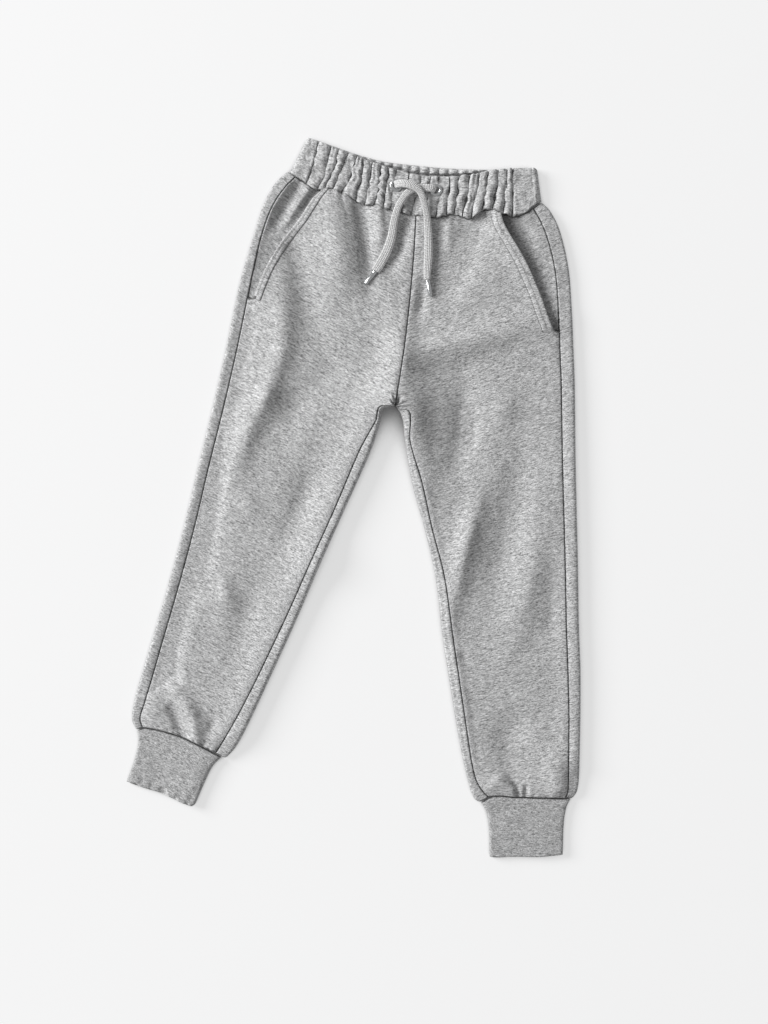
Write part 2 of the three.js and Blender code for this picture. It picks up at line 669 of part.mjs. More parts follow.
function legPieces(name) {
  const leg = legs[name];
  const downs = legDowns(leg, 0, leg.length);
  const hipDowns = legDowns(leg, 0, pocketTip - hipSeam);
  return [
    mesh(`front_panel_${name}`, wallGeometry(wallRows(leg, downs, frontSection)), "fleece"),
    mesh(`back_panel_${name}`, wallGeometry(wallRows(leg, downs, backSection)), "fleece"),
    mesh(`hip_pocket_${name}`, wallGeometry(wallRows(leg, hipDowns, hipSection)), "fleece"),
    mesh(`cuff_${name}`, cuffGeometry(leg), "rib"),
  ];
}

// A cuff is a flattened tube: top side, outer roll, underside, inner roll
function cuffGeometry(leg) {
  const radius = cuffHeight / 2;
  const sideSteps = 8;
  const arcSteps = 4;
  const rows = [];
  const lowerEdge = leg.cuff[leg.cuff.length - 1].down;
  for (const down of [0, 4, 10, 20, 34, 43, lowerEdge]) {
    const read = (column) => sample(leg.cuff, "down", column, down);
    const outer = [read("outerX"), read("outerY")];
    const inner = [read("innerX"), read("innerY")];
    const width = Math.hypot(inner[0] - outer[0], inner[1] - outer[1]);
    const dirX = (inner[0] - outer[0]) / width;
    const dirY = (inner[1] - outer[1]) / width;
    const seamFade = 1 - smooth(down / cuffSeamReach);
    const hemFade = smooth((down - lowerEdge + cuffHemReach) / cuffHemReach);
    const ring = [];
    const add = (u, z, nu, nz) => {
      const across = clamp(u / width, 0, 1);
      const bow = sample(leg.cuffLine, "across", "rise", across) * seamFade
        + sample(leg.cuffHem, "across", "rise", across) * hemFade;
      const x = outer[0] + dirX * u;
      const y = outer[1] + dirY * u + bow;
      ring.push({
        outer: new THREE.Vector3(x, y, z),
        inner: new THREE.Vector3(x - dirX * nu * cuffWall, y - dirY * nu * cuffWall, z - nz * cuffWall),
      });
    };
    for (let k = 0; k < sideSteps; k += 1) {
      add(lerp(width - radius, radius, k / sideSteps), cuffHeight, 0, 1);
    }
    for (let k = 0; k < arcSteps; k += 1) {
      const angle = Math.PI / 2 + (Math.PI * k) / arcSteps;
      const u = radius + radius * Math.cos(angle);
      add(u, radius + radius * Math.sin(angle), Math.cos(angle), Math.sin(angle));
    }
    for (let k = 0; k < sideSteps; k += 1) {
      add(lerp(radius, width - radius, k / sideSteps), 0, 0, -1);
    }
    for (let k = 0; k < arcSteps; k += 1) {
      const angle = -Math.PI / 2 + (Math.PI * k) / arcSteps;
      const u = width - radius + radius * Math.cos(angle);
      add(u, radius + radius * Math.sin(angle), Math.cos(angle), Math.sin(angle));
    }
    rows.push(ring);
  }
  return wallGeometry(rows, true);
}

// How flat the waistband lies round an eyelet: 0 on it, 1 away from it
function awayFromEyelets(x, y) {
  let away = 1;
  for (const [ex, ey] of Object.values(eyeletPlaces)) {
    away = Math.min(away, smooth((Math.hypot(x - ex, y - ey) - eyelet.flat) / eyelet.flatFade));
  }
  return away;
}

// The waistband: columns go right to left along the front, round the left end, back along the
// underside and round the right end. Rows go from the waist seam to the top edge.
function waistbandGeometry() {
  const radius = bandHeight / 2;
  const columns = [];
  const addFront = (seam, top, relief) => columns.push({ seam, top, relief, angle: null, back: false });
  const flatSteps = 3;
  const flatRelief = 0.5;
  const first = gathers[0];
  const { right, left } = bandEnds;
  for (let k = 0; k < flatSteps; k += 1) {
    const t = k / flatSteps;
    const top = lerp(right.top + radius, first.top, t);
    addFront(lerp(right.seam + radius, first.seam, t), top, flatRelief * (1 - t));
  }
  const gatherSteps = 3;
  const gatherFullness = 0.7;
  for (let g = 0; g < gathers.length - 1; g += 1) {
    for (let k = 0; k < gatherSteps; k += 1) {
      const t = k / gatherSteps;
      const seam = lerp(gathers[g].seam, gathers[g + 1].seam, t);
      const top = lerp(gathers[g].top, gathers[g + 1].top, t);
      addFront(seam, top, Math.sin(Math.PI * t) ** gatherFullness);
    }
  }
  const last = gathers[gathers.length - 1];
  for (let k = 0; k < flatSteps; k += 1) {
    const t = k / flatSteps;
    addFront(lerp(last.seam, left.seam - radius, t), lerp(last.top, left.top - radius, t), flatRelief * t);
  }
  const arcSteps = 4;
  for (let k = 0; k < arcSteps; k += 1) {
    const angle = Math.PI / 2 - (Math.PI * k) / arcSteps;
    const out = radius * Math.cos(angle) - radius;
    columns.push({
      seam: left.seam + out, top: left.top + out, relief: flatRelief, angle, back: k > arcSteps / 2,
    });
  }
  const backSteps = 2 * bandRibs;
  for (let k = 0; k < backSteps; k += 1) {
    const t = k / backSteps;
    const seam = lerp(left.seam - radius, right.seam + radius, t);
    const top = lerp(left.top - radius, right.top + radius, t);
    columns.push({ seam, top, relief: k % 2, angle: -Math.PI / 2, back: true });
  }
  for (let k = 0; k < arcSteps; k += 1) {
    const angle = -Math.PI / 2 - (Math.PI * k) / arcSteps;
    const out = radius + radius * Math.cos(angle);
    columns.push({
      seam: right.seam + out, top: right.top + out, relief: flatRelief, angle, back: k < arcSteps / 2,
    });
  }

  const levels = [
    { up: 0, drop: 2.2 },
    { up: 0.12, drop: 0.3 },
    { up: 0.5, drop: 0 },
    { up: 0.88, drop: 0.3 },
    { up: 1, drop: 1.6 },
  ];
  const place = (level, column, shift) => {
    const topTable = column.back ? bandBackTop : bandFrontTop;
    const seamX = column.seam + shift;
    const topX = column.top + shift;
    const clear = column.back ? 2 * seamGap : seamGap;
    const seamY = sample(waistSeam, "x", "y", seamX) + clear;
    const topY = sample(topTable, "x", "y", topX);
    return [lerp(seamX, topX, level.up), lerp(seamY, topY, level.up)];
  };
  const rows = levels.map((level) => columns.map((column) => {
    const [x, y] = place(level, column, 0);
    if (column.angle === null) {
      const relief = bandRelief * (column.relief - flatRelief) * awayFromEyelets(x, y);
      return {
        outer: new THREE.Vector3(x, y, bandHeight + relief - level.drop),
        inner: new THREE.Vector3(x, y, bandHeight - bandWall),
      };
    }
    const nx = Math.cos(column.angle);
    const nz = Math.sin(column.angle);
    const [innerX, innerY] = place(level, column, -bandWall * nx);
    const underside = column.angle === -Math.PI / 2;
    const facesUp = nz > 0.9;
    const rib = underside ? (column.relief - flatRelief) * bandRibDepth : 0;
    return {
      outer: new THREE.Vector3(x, y, radius + radius * nz - (facesUp ? level.drop : 0)),
      inner: new THREE.Vector3(innerX, innerY, radius + (radius - bandWall) * nz + rib),
    };
  }));
  return wallGeometry(rows, true);
}

// A flat knitted cord: an oval section carried along its route with its flat side down
function cordGeometry(route) {
  const points = route.map((point) => new THREE.Vector3(...point));
  const curve = new THREE.CatmullRomCurve3(points, false, "centripetal");
  const steps = 34;
  const sides = 8;
  const length = curve.getLength();
  const positions = [];
  for (let k = 0; k <= steps; k += 1) {
    const centre = curve.getPointAt(k / steps);
    const tangent = curve.getTangentAt(k / steps);
    const across = new THREE.Vector3(0, 0, 1).cross(tangent).normalize();
    const up = tangent.clone().cross(across);
    const squeeze = lerp(cordNeck.share, 1, smooth(((k / steps) * length) / cordNeck.length));
    for (let s = 0; s < sides; s += 1) {
      const angle = (2 * Math.PI * s) / sides;
      const point = centre.clone()
        .addScaledVector(across, (cordWidth / 2) * squeeze * Math.cos(angle))
        .addScaledVector(up, (cordThickness / 2) * Math.sin(angle));
      positions.push(point.x, point.y, point.z);
    }
  }
  const indices = [];
  for (let k = 0; k < steps; k += 1) {
    for (let s = 0; s < sides; s += 1) {
      const a = k * sides + s;
      const b = k * sides + ((s + 1) % sides);
      indices.push(a, b, b + sides, a, b + sides, a + sides);
    }
  }
  for (let s = 1; s < sides - 1; s += 1) {
    const end = steps * sides;
    indices.push(0, s + 1, s, end, end + s, end + s + 1);
  }
  return facingOut(positions, indices);
}

// A metal cord end: a tapering tube closed round the cord, with a rounded tip
function agletMesh(name, route, tip) {
  const { length, radius, tip: tipRadius, collar, nose } = aglet;
  const profile = [
    new THREE.Vector2(0, 0),
    new THREE.Vector2(radius * 0.86, 0),
    new THREE.Vector2(radius, collar),
    new THREE.Vector2(lerp(radius, tipRadius, 0.7), length * 0.7),
    new THREE.Vector2(tipRadius, length - nose),
    new THREE.Vector2(tipRadius * 0.6, length - nose / 6),
    new THREE.Vector2(0, length),
  ];
  const made = mesh(name, new THREE.LatheGeometry(profile, 10), "metal");
  const start = new THREE.Vector3(...route[route.length - 1]);
  const cordEnd = start.clone().sub(new THREE.Vector3(...route[route.length - 2])).normalize();
  const direction = new THREE.Vector3(...tip).sub(start).normalize();
  const clear = seamGap + radius * Math.sin(cordEnd.angleTo(direction));
  made.position.copy(start).addScaledVector(direction, clear);
  made.quaternion.setFromUnitVectors(new THREE.Vector3(0, 1, 0), direction);
  return made;
}

// An eyelet is a rolled metal ring that lies on the waistband
function eyeletMesh(name, [x, y]) {
  const { outer, inner, height } = eyelet;
  const middle = (outer + inner) / 2;
  const half = (outer - inner) / 2;
  const profile = [];
  const sides = 8;
  for (let k = 0; k <= sides; k += 1) {
    const angle = (2 * Math.PI * k) / sides;
    profile.push(new THREE.Vector2(middle + half * Math.cos(angle), (height / 2) * (1 + Math.sin(angle))));
  }
  const made = mesh(name, new THREE.LatheGeometry(profile, 20), "metal");
  made.rotation.x = Math.PI / 2;
  made.position.set(x, y, bandHeight + seamGap);
  return made;
}

const sweatpants = new THREE.Group();
sweatpants.name = "jogger_sweatpants";
for (const name of ["right", "left"]) {
  sweatpants.add(...legPieces(name));
  sweatpants.add(mesh(`drawcord_${name}`, cordGeometry(cordRoutes[name]), "cord"));
  sweatpants.add(agletMesh(`aglet_${name}`, cordRoutes[name], agletTips[name]));
  sweatpants.add(eyeletMesh(`eyelet_${name}`, eyeletPlaces[name]));
}
sweatpants.add(mesh("waistband", waistbandGeometry(), "fleece"));

export default sweatpants;
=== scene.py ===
# Jogger sweatpants for a child, laid flat with the front up and the legs apart.
# The tables are in millimetres in the model's frame. "right" and "left" are the wearer's,
# so the right leg is the one on the -X side.

import math
from functools import reduce

import bpy
import numpy as np
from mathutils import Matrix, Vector


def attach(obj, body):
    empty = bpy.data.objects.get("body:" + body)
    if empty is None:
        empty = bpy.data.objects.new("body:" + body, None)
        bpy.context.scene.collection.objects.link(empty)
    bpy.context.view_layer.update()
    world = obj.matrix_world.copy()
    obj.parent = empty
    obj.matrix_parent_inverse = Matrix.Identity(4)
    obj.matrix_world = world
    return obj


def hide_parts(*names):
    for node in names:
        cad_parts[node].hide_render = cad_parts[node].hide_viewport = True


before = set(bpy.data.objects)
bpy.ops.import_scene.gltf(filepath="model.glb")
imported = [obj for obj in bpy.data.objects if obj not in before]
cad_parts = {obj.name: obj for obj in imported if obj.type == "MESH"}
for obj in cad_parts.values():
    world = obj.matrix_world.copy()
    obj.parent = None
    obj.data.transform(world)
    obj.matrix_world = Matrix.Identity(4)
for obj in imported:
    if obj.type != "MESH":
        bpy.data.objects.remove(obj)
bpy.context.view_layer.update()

MM = 0.001

# Camera: straight above, so one scale serves the whole picture
PICTURE_HEIGHT = 1024
MM_PER_PIXEL = 0.95
PICTURE_CENTRE = (29.0, -14.3)
CAMERA_HEIGHT = 2.6
SENSOR_HEIGHT = 36.0

# Light from the left and a little from the waist side, 30 degrees above the floor
WINDOW = (0.805, -0.32, -0.5)
WINDOW_STRENGTH = 4.5
ROOM_STRENGTH = 0.34

# Leg panels. Fold start: where folds begin in from the outer edge, and over what length.
# Crotch lift: height, width
FLEECE = 2.6
ROLL_RADIUS = 4.0
ROLL_SQUARENESS = 0.62
PANEL_RISE = 2.2
RISE_WIDTH = 18.0
LOWEST_TOP = 6.0
FOLD_START = (-3, 8)
WAIST_BOW_REACH = 55
GATHER_PULL_REACH = 16
CUFF_BOW_REACH = 34
CROTCH_DOWN = 178.0
CROTCH = (39.2, 85.4)
CROTCH_LIFT = (7.6, 34)
CROTCH_PUCKERS = {"depth": 1.5, "radius": 6, "spread": 4.5, "count": 11, "waver": 1.5}
SEAM_TURN = 7.0
CLOSING = 16
UNDER_LIFT = 0.9
UNDER_FADE = 10

# Seams: how they dip, pucker and are drawn in, and the painted shade along them and low on turned edges.
# Dips: depth, width
SEAM_DIP = (0.6, 2.5)
OPEN_SIDE_DIP = 0.4
WAIST_DIP = (0.5, 6)
CUFF_DIP = (1.2, 7)
PUCKER = {"height": 0.1, "side": 1.6, "inner": 1.7, "width": 4}
GROOVE_DEPTH = 1.6
GROOVE_WIDTH = 0.5
SHADE_WIDTH = 0.55
CUFF_GROOVE = 0.8
WAIST_SHADE = 0.8
UNDER_WAIST_SHADE = 0.6
CUFF_SHADE = 0.7
BAND_SHADE = 0.7
EDGE_SHADE = 0.42

# Short tucks below the waist seam and above the cuff's, with the ranges they are drawn from
WAIST_TUCKS = {"height": 1.5, "width": 2.1, "reach": (6, 20), "lean": (-0.25, 0.25), "strength": (0.3, 1.1)}
CUFF_TUCKS = {"count": 13, "at": (0.2, 0.8), "reach": (2.5, 8), "depth": (0.2, 1.0), "width": (1.2, 2.6)}

# How seam lines and their painted shade vary along their length, and the scallops of the waist seam
SEAM_LINE = {"mean": 0.82, "swing": 0.3, "size": 1.6, "least": 0.3}
WAIST_OPENING = {"mean": 0.42, "swing": 0.4, "size": 4.5, "least": 0.08}
SCALLOPS = {"height": 0.4, "size": 3.2, "from": -58, "to": 174, "fade": 8}

# Unevenness of brushed cloth: size of the lumps, their height, what is added to the leg's seed
PANEL_LUMPS = [(16, 0.1, 2), (5, 0.025, 3)]
HIP_LUMPS = [(8, 0.12, 5)]
CUFF_LUMPS = [(14, 0.16, 7), (5, 0.06, 6)]

# Pockets. Gape at: middle and spread down the leg. Stitch rows: distance in from the hem's
# inner line, depth
HEM_RAISE = 1.0
HEM_LIP = 1.4
HEM_STEP = 1.6
HEM_LINE_WIDTH = 0.5
GAPE_AT = (38, 48)
GAPE_WIDTH = 13
STITCH_ROWS = [(0.2, 0.9), (4.7, 0.35)]
STITCH = {"length": 2.5, "gap": 0.9, "radius": 0.26}
POCKET_TIP = 126.0
POCKET_END = 3.0
POCKET_TUCK = 13.0
POCKET_FLOOR = 4.8
HIP_CLOTH = 1.9
LAYER_GAP = 0.3
HIP_SINK = 1.2
# Shade in the open pocket: strength, reach in from its edge, middle and spread down the leg
POCKET_SHADES = [(0.5, 6, 30, 50), (1.0, 13, 4, 26)]

# Waistband, cuffs, cord and trim. Eyelet clear: how far the band is flat round an eyelet, and
# over what length its gathers begin
BAND_HEIGHT = 11.0
BAND_TALL = 38.0
BAND_WALL = 4.6
BAND_ROUND = 2.0
BAND_CORNER = 4.5
BACK_RIM = 4.6
BAND_ARC = 12
BACK_RIBS = 24
RIB_DEPTH = 1.2
RIM_RIB_DEPTH = 2.4
MEAN_RIB = 0.62
MEAN_PUFF = 0.62
VALLEY_PUFF = 0.55
GATHER_DEPTH = 7.0
GATHER_SCALLOP = 2.2
UNDER_GATHER = 0.8
EYELET_CLEAR = (5.5, 6)
BAND_DIMPLE = {"depth": 3.6, "x": 58, "width": 7, "up": 0.15, "tall": 0.32}
CUFF_HEIGHT = 7.0
CUFF_WALL = 3.0
CORD_THICKNESS = 3.0
EYELET = {"outer": 5.8, "inner": 3.1, "height": 1.5}
AGLET = {"length": 16.0, "radius": 2.3, "tip": 1.7}
BAR_TACK = {"ends": (-2.2, 3.2), "pitch": 0.45, "in": 1.2, "length": 2.6, "radius": 0.26}
COURSE_SLANT = 0.16

# Looks. Knits: dark, middle and light grey, fibre length and width, contrast, shift of the pattern
KNITS = {
    "melange fleece front": (0.12, 0.415, 0.74, 5.0, 0.85, 1.04, 0),
    "melange fleece back": (0.12, 0.415, 0.74, 5.0, 0.85, 1.04, 40),
    "melange fleece hip": (0.11, 0.38, 0.68, 5.0, 0.85, 1.04, 80),
    "melange fleece band": (0.13, 0.44, 0.76, 4.6, 0.85, 1.0, 120),
    "melange rib": (0.11, 0.37, 0.66, 3.6, 0.75, 1.05, 160),
}
# Fibres of the yarn: shares of its length and width, detail, shift, weight in the tone, in the height
FIBRES = [
    (1.0, 1.0, 1.0, 3.7, 1.15, 0.7),
    (0.44, 0.78, 1.0, 11.3, 1.35, 0.6),
    (2.2, 3.0, 1.0, 29.1, 0.12, 0),
    (0.19, 0.7, 0.0, 17.9, 0.75, 0),
]
# How strongly the painted shade darkens the cloth
PAINTED_SHADE_DEPTH = 0.8
CORD_STITCH = 1.5
NICKEL = (0.72, 0.73, 0.74)
NICKEL_ROUGHNESS = (0.16, 0.34)
FLOOR_REACH = 14.0
FLOOR_DROP = 0.0003
FLOOR_COLOUR = (0.26, 0.26, 0.262, 1)
FLOOR_GLOW = 0.63
# Painted contact shadow: the floor glows less where the part stands close over it, within this distance
FLOOR_SHADOW_REACH = 0.06
FLOOR_PAINTED_SHADOW = {"From Min": 0.34, "From Max": 0.62, "To Min": 0.1, "To Max": 1.0}

# The centre seam: down, x, y
CENTRE_SEAM = [
    (0, 59.4, 266.2),
    (35, 57.4, 231),
    (70, 54.4, 195.5),
    (115, 49.5, 151),
    (150, 44.3, 114.6),
    (178, 39.2, 85.4),
]

# The waist seam as it would lie without gathers, and as the gathers pull it: x, y
WAIST_SEAM = [
    (-62, 308.2),
    (-33, 291.8),
    (-6, 283.6),
    (21, 275.6),
    (59.4, 266.2),
    (90, 265.2),
    (128, 267.6),
    (156, 271),
    (178.6, 280),
]
PULLED_SEAM = [
    (-62, 308.6),
    (-46.1, 297.4),
    (-32.8, 290.7),
    (-20.4, 291.8),
    (-6.2, 285.4),
    (10, 276.5),
    (21.4, 276.3),
    (36.6, 270.8),
    (59.4, 266.4),
    (78.4, 265.1),
    (96.4, 267.2),
    (110.7, 263.6),
    (120.2, 270),
    (130.6, 272.2),
    (143.9, 267.4),
    (157.2, 266.6),
    (167.7, 271.7),
    (178.6, 279.6),
]

# The top edges of the waistband's front and back: x, y
BAND_FRONT_TOP = [
    (-45, 341.5),
    (-33, 336.6),
    (-18.5, 331),
    (4.3, 322.1),
    (27, 313.6),
    (43, 309.4),
    (61, 304.6),
    (96, 303.4),
    (111, 304.8),
    (131, 309.2),
    (158, 311.4),
    (174.6, 311.8),
]
BAND_BACK_TOP = [
    (-45, 341.9),
    (-33, 337.6),
    (-18.5, 332.6),
    (4.3, 324.6),
    (27, 318.5),
    (60.3, 314.2),
    (96, 311.3),
    (131, 310.4),
    (158, 312),
    (174.6, 312.2),
]
BAND_ENDS = {"right": (-60.5, -45), "left": (178.2, 174.6)}

# Valleys between the gathers: x at the seam, x at the top, depth, wander, second pleat
GATHERS = [
    (-44.5, -33, 0.7, 0.5, 0.0),
    (-34, -21, 1.0, 0.7, 0.45),
    (-27, -14, 0.9, -0.5, 0.0),
    (-20, -5, 1.0, 0.6, 0.3),
    (-11.5, 3, 0.9, -0.8, 0.55),
    (2.5, 9.5, 1.1, 0.7, 0.0),
    (10, 17.5, 1.1, -0.4, 0.35),
    (19.5, 26, 0.9, 0.6, 0.0),
    (28.5, 33, 1.0, -0.6, 0.0),
    (34.5, 41, 0.8, 0.8, 0.4),
    (44, 52.5, 0.8, -0.6, 0.3),
    (54, 64.5, 0.7, 0.5, 0.5),
    (66, 73, 0.7, -0.5, 0.3),
    (78, 81.5, 0.8, 0.6, 0.2),
    (88, 90.5, 1.0, -0.6, 0.0),
    (95.5, 99.5, 1.1, 0.5, 0.0),
    (102.5, 110, 1.1, -0.7, 0.5),
    (111, 119.5, 1.1, 0.8, 0.35),
    (121.5, 128, 1.0, -0.5, 0.0),
    (131.5, 137.5, 1.1, 0.6, 0.3),
    (142, 145.5, 1.0, -0.5, 0.0),
    (150, 151, 0.9, 0.4, 0.0),
]

# Largest folds, each a line through three points, with its width, height and strength at both ends
FOLDS = [
    (-20, 276, -12, 228, -3, 176, 16, 8, 0.7, 0),
    (-60, 262, -45, 190, -24, 126, 12, -4.6, 0.8, 0.3),
    (-70, 214, -66, 142, -82, 96, 11, 6.2, 0.2, 0.7),
    (-82, 96, -100, 60, -114, 16, 10, 5, 1, 0.2),
    (-96, 208, -102, 148, -114, 96, 10, -5, 0.4, 0.7),
    (-114, 96, -138, -24, -180, -172, 9.5, -5.4, 0.5, 1),
    (-20, 118, -52, 92, -70, 52, 13, -3, 0.5, 0.4),
    (8, 272, 12, 240, 16, 195, 6.5, -5.6, 1, 0.3),
    (24, 274, 26, 250, 22, 226, 6, 3, 1, 0),
    (51, 270, 46, 244, 35, 212, 6.5, -6.4, 1, 0.3),
    (80, 268, 80, 238, 79, 206, 6.5, -6, 1, 0.3),
    (66, 204, 65, 184, 60, 160, 5, -3, 0.6, 0),
    (46, 180, 42, 136, 34, 90, 14, 8, 0.3, 0.6),
    (28, 78, -1, 8, -32, -60, 23, 9, 0.8, 0.85),
    (-32, -60, -59, -124, -103, -222, 21, 7.4, 1, 0.95),
    (-34, 40, -46, 0, -66, -50, 12, -4.6, 0.2, 0),
    (-84, -60, -100, -110, -116, -170, 12, -2.4, 0.2, 0.2),
    (-134, 20, -140, -48, -142, -132, 12, -3.2, 0.2, 0.2),
    (-112, 12, -98, -8, -84, -26, 9, 2.4, 0.2, 0),
    (-122, -60, -122, -92, -112, -116, 8, 2.9, 0, 0),
    (-174, -148, -172, -168, -166, -184, 8, -3.6, 0, 0.2),
    (-186, -166, -166, -186, -142, -212, 8, 4.2, 0, 0.3),
    (-179, -193, -168.6, -206, -160, -226, 5, -5, 0.1, 1),
    (-165, -188, -152, -206, -148.7, -233, 6, 3.6, 0, 0.9),
    (116, 266, 100, 222, 74, 168, 15, -7, 0.7, 0),
    (52, 134, 104, 146, 182, 166, 14, 5.6, 0.9, 0.6),
    (102, 122, 108, 66, 90, 0, 12, -6.4, 0.2, 0),
    (56, 118, 56, 62, 62, 0, 17, 8, 0.5, 0.5),
    (66, 10, 84, -70, 96, -150, 6, 2.7, 0.7, 0.8),
    (96, -150, 104, -200, 112, -258, 6, 3.7, 0.8, 0.6),
    (126, 24, 108, -40, 89, -122, 10, 7.4, 0, 0.4),
    (164, 70, 150, -18, 120, -148, 14, -4.6, 0.2, 0),
    (152, 112, 142, 84, 134, 56, 11, 2.4, 0, 0),
    (188, 20, 164, -92, 140, -176, 14, 3.8, 0.2, 0),
    (190, -52, 190, -104, 184, -158, 9, -1.6, 0, 0),
    (208, 168, 211, 0, 212, -250, 13, 5.6, 0.5, 0.9),
    (152, -190, 148, -228, 150, -262, 15, -4, 0, 0.6),
    (186, -228, 192, -254, 194, -276, 12, 4, 0, 0.8),
    (124, -272, 138, -269, 150, -277, 6, 4.4, 0, 0.6),
]

# Finer creases, in the same columns
CREASES = [
    (42.3, 223.3, 42.3, 180, 40.9, 144.4, 4, -0.8, 0, 0),
    (-142, -206, -133, -217, -141, -232.8, 5, -2.2, 0, 0.3),
    (148.6, -267, 154.4, -273.6, 156.3, -285, 2.6, -3, 0.3, 1),
    (163.4, -269.7, 163.6, -277.4, 162, -286, 2.3, -2.6, 0, 1),
]

HIP_FOLDS = [
    (-52, 295, -68, 270, -84, 241, 5, -2.8, 1, 0.2),
    (-43, 290.5, -53, 275, -66, 255, 4.5, 4.2, 1, 0.2),
    (-64, 296, -78, 272, -92, 240, 5, 2.6, 1, 0.2),
    (-76, 292, -86, 268, -96, 232, 4, -2.4, 1, 0.4),
    (160, 266, 171, 250, 182, 226, 6, 1.8, 0.8, 0),
    (148, 266, 160, 252, 176, 232, 9, -3.4, 1, 0.1),
]

# Creases pressed into the underside, in the same columns
UNDER_FOLDS = [
    (-96, 150, -30, 118, 28, 96, 7, 0.8, 0.3, 1),
    (-116, 60, -72, 52, -16, 30, 8, 0.7, 0.2, 0.6),
    (-150, -44, -108, -38, -66, -66, 6, 0.75, 0.8, 0.2),
    (-150, 4, -158, -60, -172, -128, 7, 0.6, 0.2, 0.7),
    (-186, -168, -152, -176, -122, -204, 6, 0.75, 0.4, 0.9),
    (-96, -96, -112, -150, -134, -206, 8, 0.6, 0.2, 0.8),
    (-70, 262, -50, 214, -44, 160, 9, 0.7, 0.9, 0.2),
    (14, 264, 6, 222, -8, 180, 7, 0.65, 1, 0.1),
    (60, 106, 112, 132, 186, 142, 8, 0.8, 1, 0.2),
    (74, 40, 118, 52, 176, 34, 7, 0.65, 0.7, 0.3),
    (86, -60, 130, -48, 186, -66, 6, 0.75, 0.3, 0.8),
    (176, 8, 170, -70, 178, -140, 8, 0.6, 0.1, 0.6),
    (112, -150, 126, -206, 130, -262, 7, 0.7, 0.2, 0.9),
    (196, -212, 176, -230, 150, -276, 6, 0.75, 0.3, 1),
    (150, 262, 144, 212, 150, 166, 9, 0.7, 0.9, 0.2),
    (96, 258, 92, 226, 84, 186, 7, 0.6, 1, 0.1),
]
